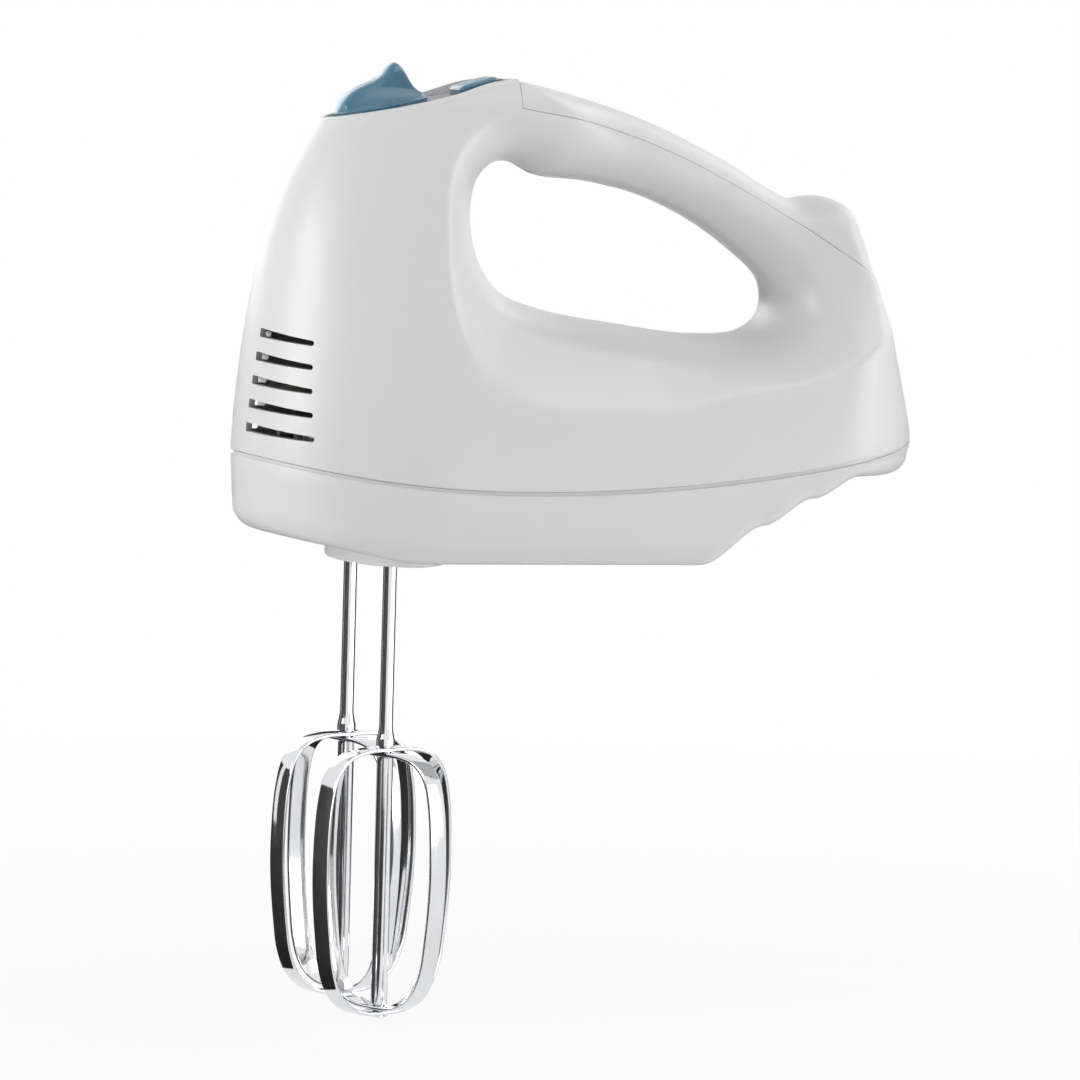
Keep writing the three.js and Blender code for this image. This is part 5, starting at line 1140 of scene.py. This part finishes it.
replaced = {node for _, _, _, nodes in made for node in nodes}
for name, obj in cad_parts.items():
    if name not in replaced:
        for place in obj.material_slots:
            key = place.material.name.split(".")[0]
            place.material = FINISHES.get(key, steel)

# ---------------------------------------------------------------- floor, light and camera
def sheet(name, corners, finish):
    mesh = bpy.data.meshes.new(name)
    mesh.from_pydata(corners, [], [list(range(len(corners)))])
    mesh.materials.append(finish)
    obj = bpy.data.objects.new(name, mesh)
    bpy.context.scene.collection.objects.link(obj)
    return obj


def pale_floor():
    """Keeps the shadow near the mixer and runs out into the white surround."""
    f = Finish("pale floor", Roughness=0.9)
    grain = f.noise(6, 3)
    f.feed("Base Color", f.tint(grain, (0.88, 0.88, 0.88), (0.86, 0.86, 0.86)))
    reach = f.node("ShaderNodeVectorMath", {"operation": "LENGTH"}, {0: f.place}, "Value")
    share = f.ranged(reach, 0.25, 0.75, FLOOR_SHINE, 1)
    camera_ray = f.node("ShaderNodeLightPath", {}, {}, "Is Camera Ray")
    glossy_ray = f.node("ShaderNodeLightPath", {}, {}, "Is Glossy Ray")
    seen = camera_ray.sum("MAXIMUM", camera_ray, glossy_ray)
    glow = f.node("ShaderNodeEmission", {}, {"Color": (1, 1, 1, 1), "Strength": 1.0})
    mixed = f.node("ShaderNodeMixShader", {}, {0: share * seen, 1: Value(f, f.shader.outputs[0]), 2: glow})
    f.tree.links.new(mixed.socket, f.tree.nodes["Material Output"].inputs["Surface"])
    return f.material


FLOOR_SHINE = 0.88  # white share of the floor under the mixer
FLOOR_GAP = 1.6  # mm under the ends of the beaters
floor_level = (CAGE_TIP - FLOOR_GAP - GRIP[2]) / 1000
FLOOR_HALF = 4
SQUARE = ((-1, -1), (1, -1), (1, 1), (-1, 1))
sheet("floor", [(sx * FLOOR_HALF, sy * FLOOR_HALF, floor_level) for sx, sy in SQUARE], pale_floor())


def area(name, place, target, size, power):
    lamp = bpy.data.lights.new(name, "AREA")
    lamp.shape, lamp.size, lamp.size_y, lamp.energy = "RECTANGLE", size[0], size[1], power
    obj = bpy.data.objects.new(name, lamp)
    obj.location = place
    obj.rotation_euler = (Vector(target) - Vector(place)).to_track_quat("-Z", "Y").to_euler()
    bpy.context.scene.collection.objects.link(obj)
    return obj


def card(name, corners, shade):
    """A dark board near the beaters, seen only in polished metal."""
    f = Finish(name, Roughness=0.9, Specular_IOR_Level=0.1)
    f.feed("Base Color", f.tint(f.noise(3, 2), (shade,) * 3, (shade * 0.6,) * 3))
    obj = sheet(name, corners, f.material)
    obj.visible_camera = obj.visible_diffuse = obj.visible_shadow = obj.visible_transmission = False


CARD_TOP = -0.04
for name, (ax, ay), (bx, by), shade in (
        ("rear card", (-0.42, 0.28), (0.05, 0.42), 0.05),
        ("left card", (-0.50, -0.22), (-0.48, 0.26), 0.10),
        ("front card", (-0.50, -0.22), (-0.32, -0.38), 0.14),
        ("right card", (0.38, 0.03), (0.22, 0.42), 0.05)):
    card(name, [(ax, ay, floor_level), (bx, by, floor_level), (bx, by, CARD_TOP), (ax, ay, CARD_TOP)], shade)
low = floor_level + 0.0005
for name, (ax, ay), (bx, by) in (
        ("low left card", (-0.7, -0.5), (-0.09, 0.6)), ("low rear card", (-0.09, 0.06), (0.4, 0.6))):
    card(name, [(ax, ay, low), (bx, ay, low), (bx, by, low), (ax, by, low)], 0.03)


area("key", (-1.5, -0.2, 0.3), (0, 0, -0.05), (0.8, 0.8), 13.8)
area("fill", (1.45, -0.85, 0.25), (0, 0, -0.05), (1.0, 1.0), 10.8)
area("top", (0.3, -0.35, 1.4), (0, 0, -0.05), (1.6, 1.0), 8.4)
area("low", (0.6, -0.8, -0.22), (0, 0, 0), (1.2, 0.3), 2.5)
area("rear", (1.0, 0.6, 0.8), (0.05, 0, 0), (0.8, 0.8), 3.2)
area("far side", (-0.4, 1.4, 0.5), (0, 0, -0.05), (1.0, 1.0), 5.5)

world = bpy.data.worlds.new("white surround")
bpy.context.scene.world = world
world.use_nodes = True
nodes, links = world.node_tree.nodes, world.node_tree.links
nodes.clear()
path = nodes.new("ShaderNodeLightPath")
seen = nodes.new("ShaderNodeMath")
seen.operation = "MAXIMUM"
links.new(path.outputs["Is Camera Ray"], seen.inputs[0])
links.new(path.outputs["Is Transmission Ray"], seen.inputs[1])
glossy = nodes.new("ShaderNodeMath")
glossy.operation = "MAXIMUM"
links.new(seen.outputs[0], glossy.inputs[0])
links.new(path.outputs["Is Glossy Ray"], glossy.inputs[1])
strength = nodes.new("ShaderNodeMapRange")
strength.inputs["To Min"].default_value = 0.10
strength.inputs["To Max"].default_value = 1.0
links.new(glossy.outputs[0], strength.inputs["Value"])
shine = nodes.new("ShaderNodeBackground")
shine.inputs["Color"].default_value = (1, 1, 1, 1)
links.new(strength.outputs[0], shine.inputs["Strength"])
out = nodes.new("ShaderNodeOutputWorld")
links.new(shine.outputs[0], out.inputs["Surface"])

AZIMUTH, ELEVATION, ROLL = math.radians(17.5), math.radians(4.4), math.radians(1.6)
DISTANCE, SHIFT = 1.778, (47.14, 5.70)
towards = np.array([-math.sin(AZIMUTH) * math.cos(ELEVATION), -math.cos(AZIMUTH) * math.cos(ELEVATION),
                    math.sin(ELEVATION)])
flat_right = np.array([math.cos(AZIMUTH), -math.sin(AZIMUTH), 0])
flat_up = np.cross(towards, flat_right)
right = math.cos(ROLL) * flat_right + math.sin(ROLL) * flat_up
up = -math.sin(ROLL) * flat_right + math.cos(ROLL) * flat_up
aim = (right * SHIFT[0] + up * SHIFT[1] - GRIP) / 1000
lens = bpy.data.cameras.new("camera")
lens.sensor_width, lens.lens, lens.clip_start, lens.clip_end = 36, 213.33, 0.01, 20
camera = bpy.data.objects.new("camera", lens)
turned_axes, stand = np.stack([right, up, towards], 1), aim + towards * DISTANCE
camera.matrix_world = Matrix([[*row, shift] for row, shift in zip(turned_axes, stand)] + [[0, 0, 0, 1]])
bpy.context.scene.collection.objects.link(camera)
bpy.context.scene.camera = camera
bpy.context.scene.view_settings.view_transform = "Standard"
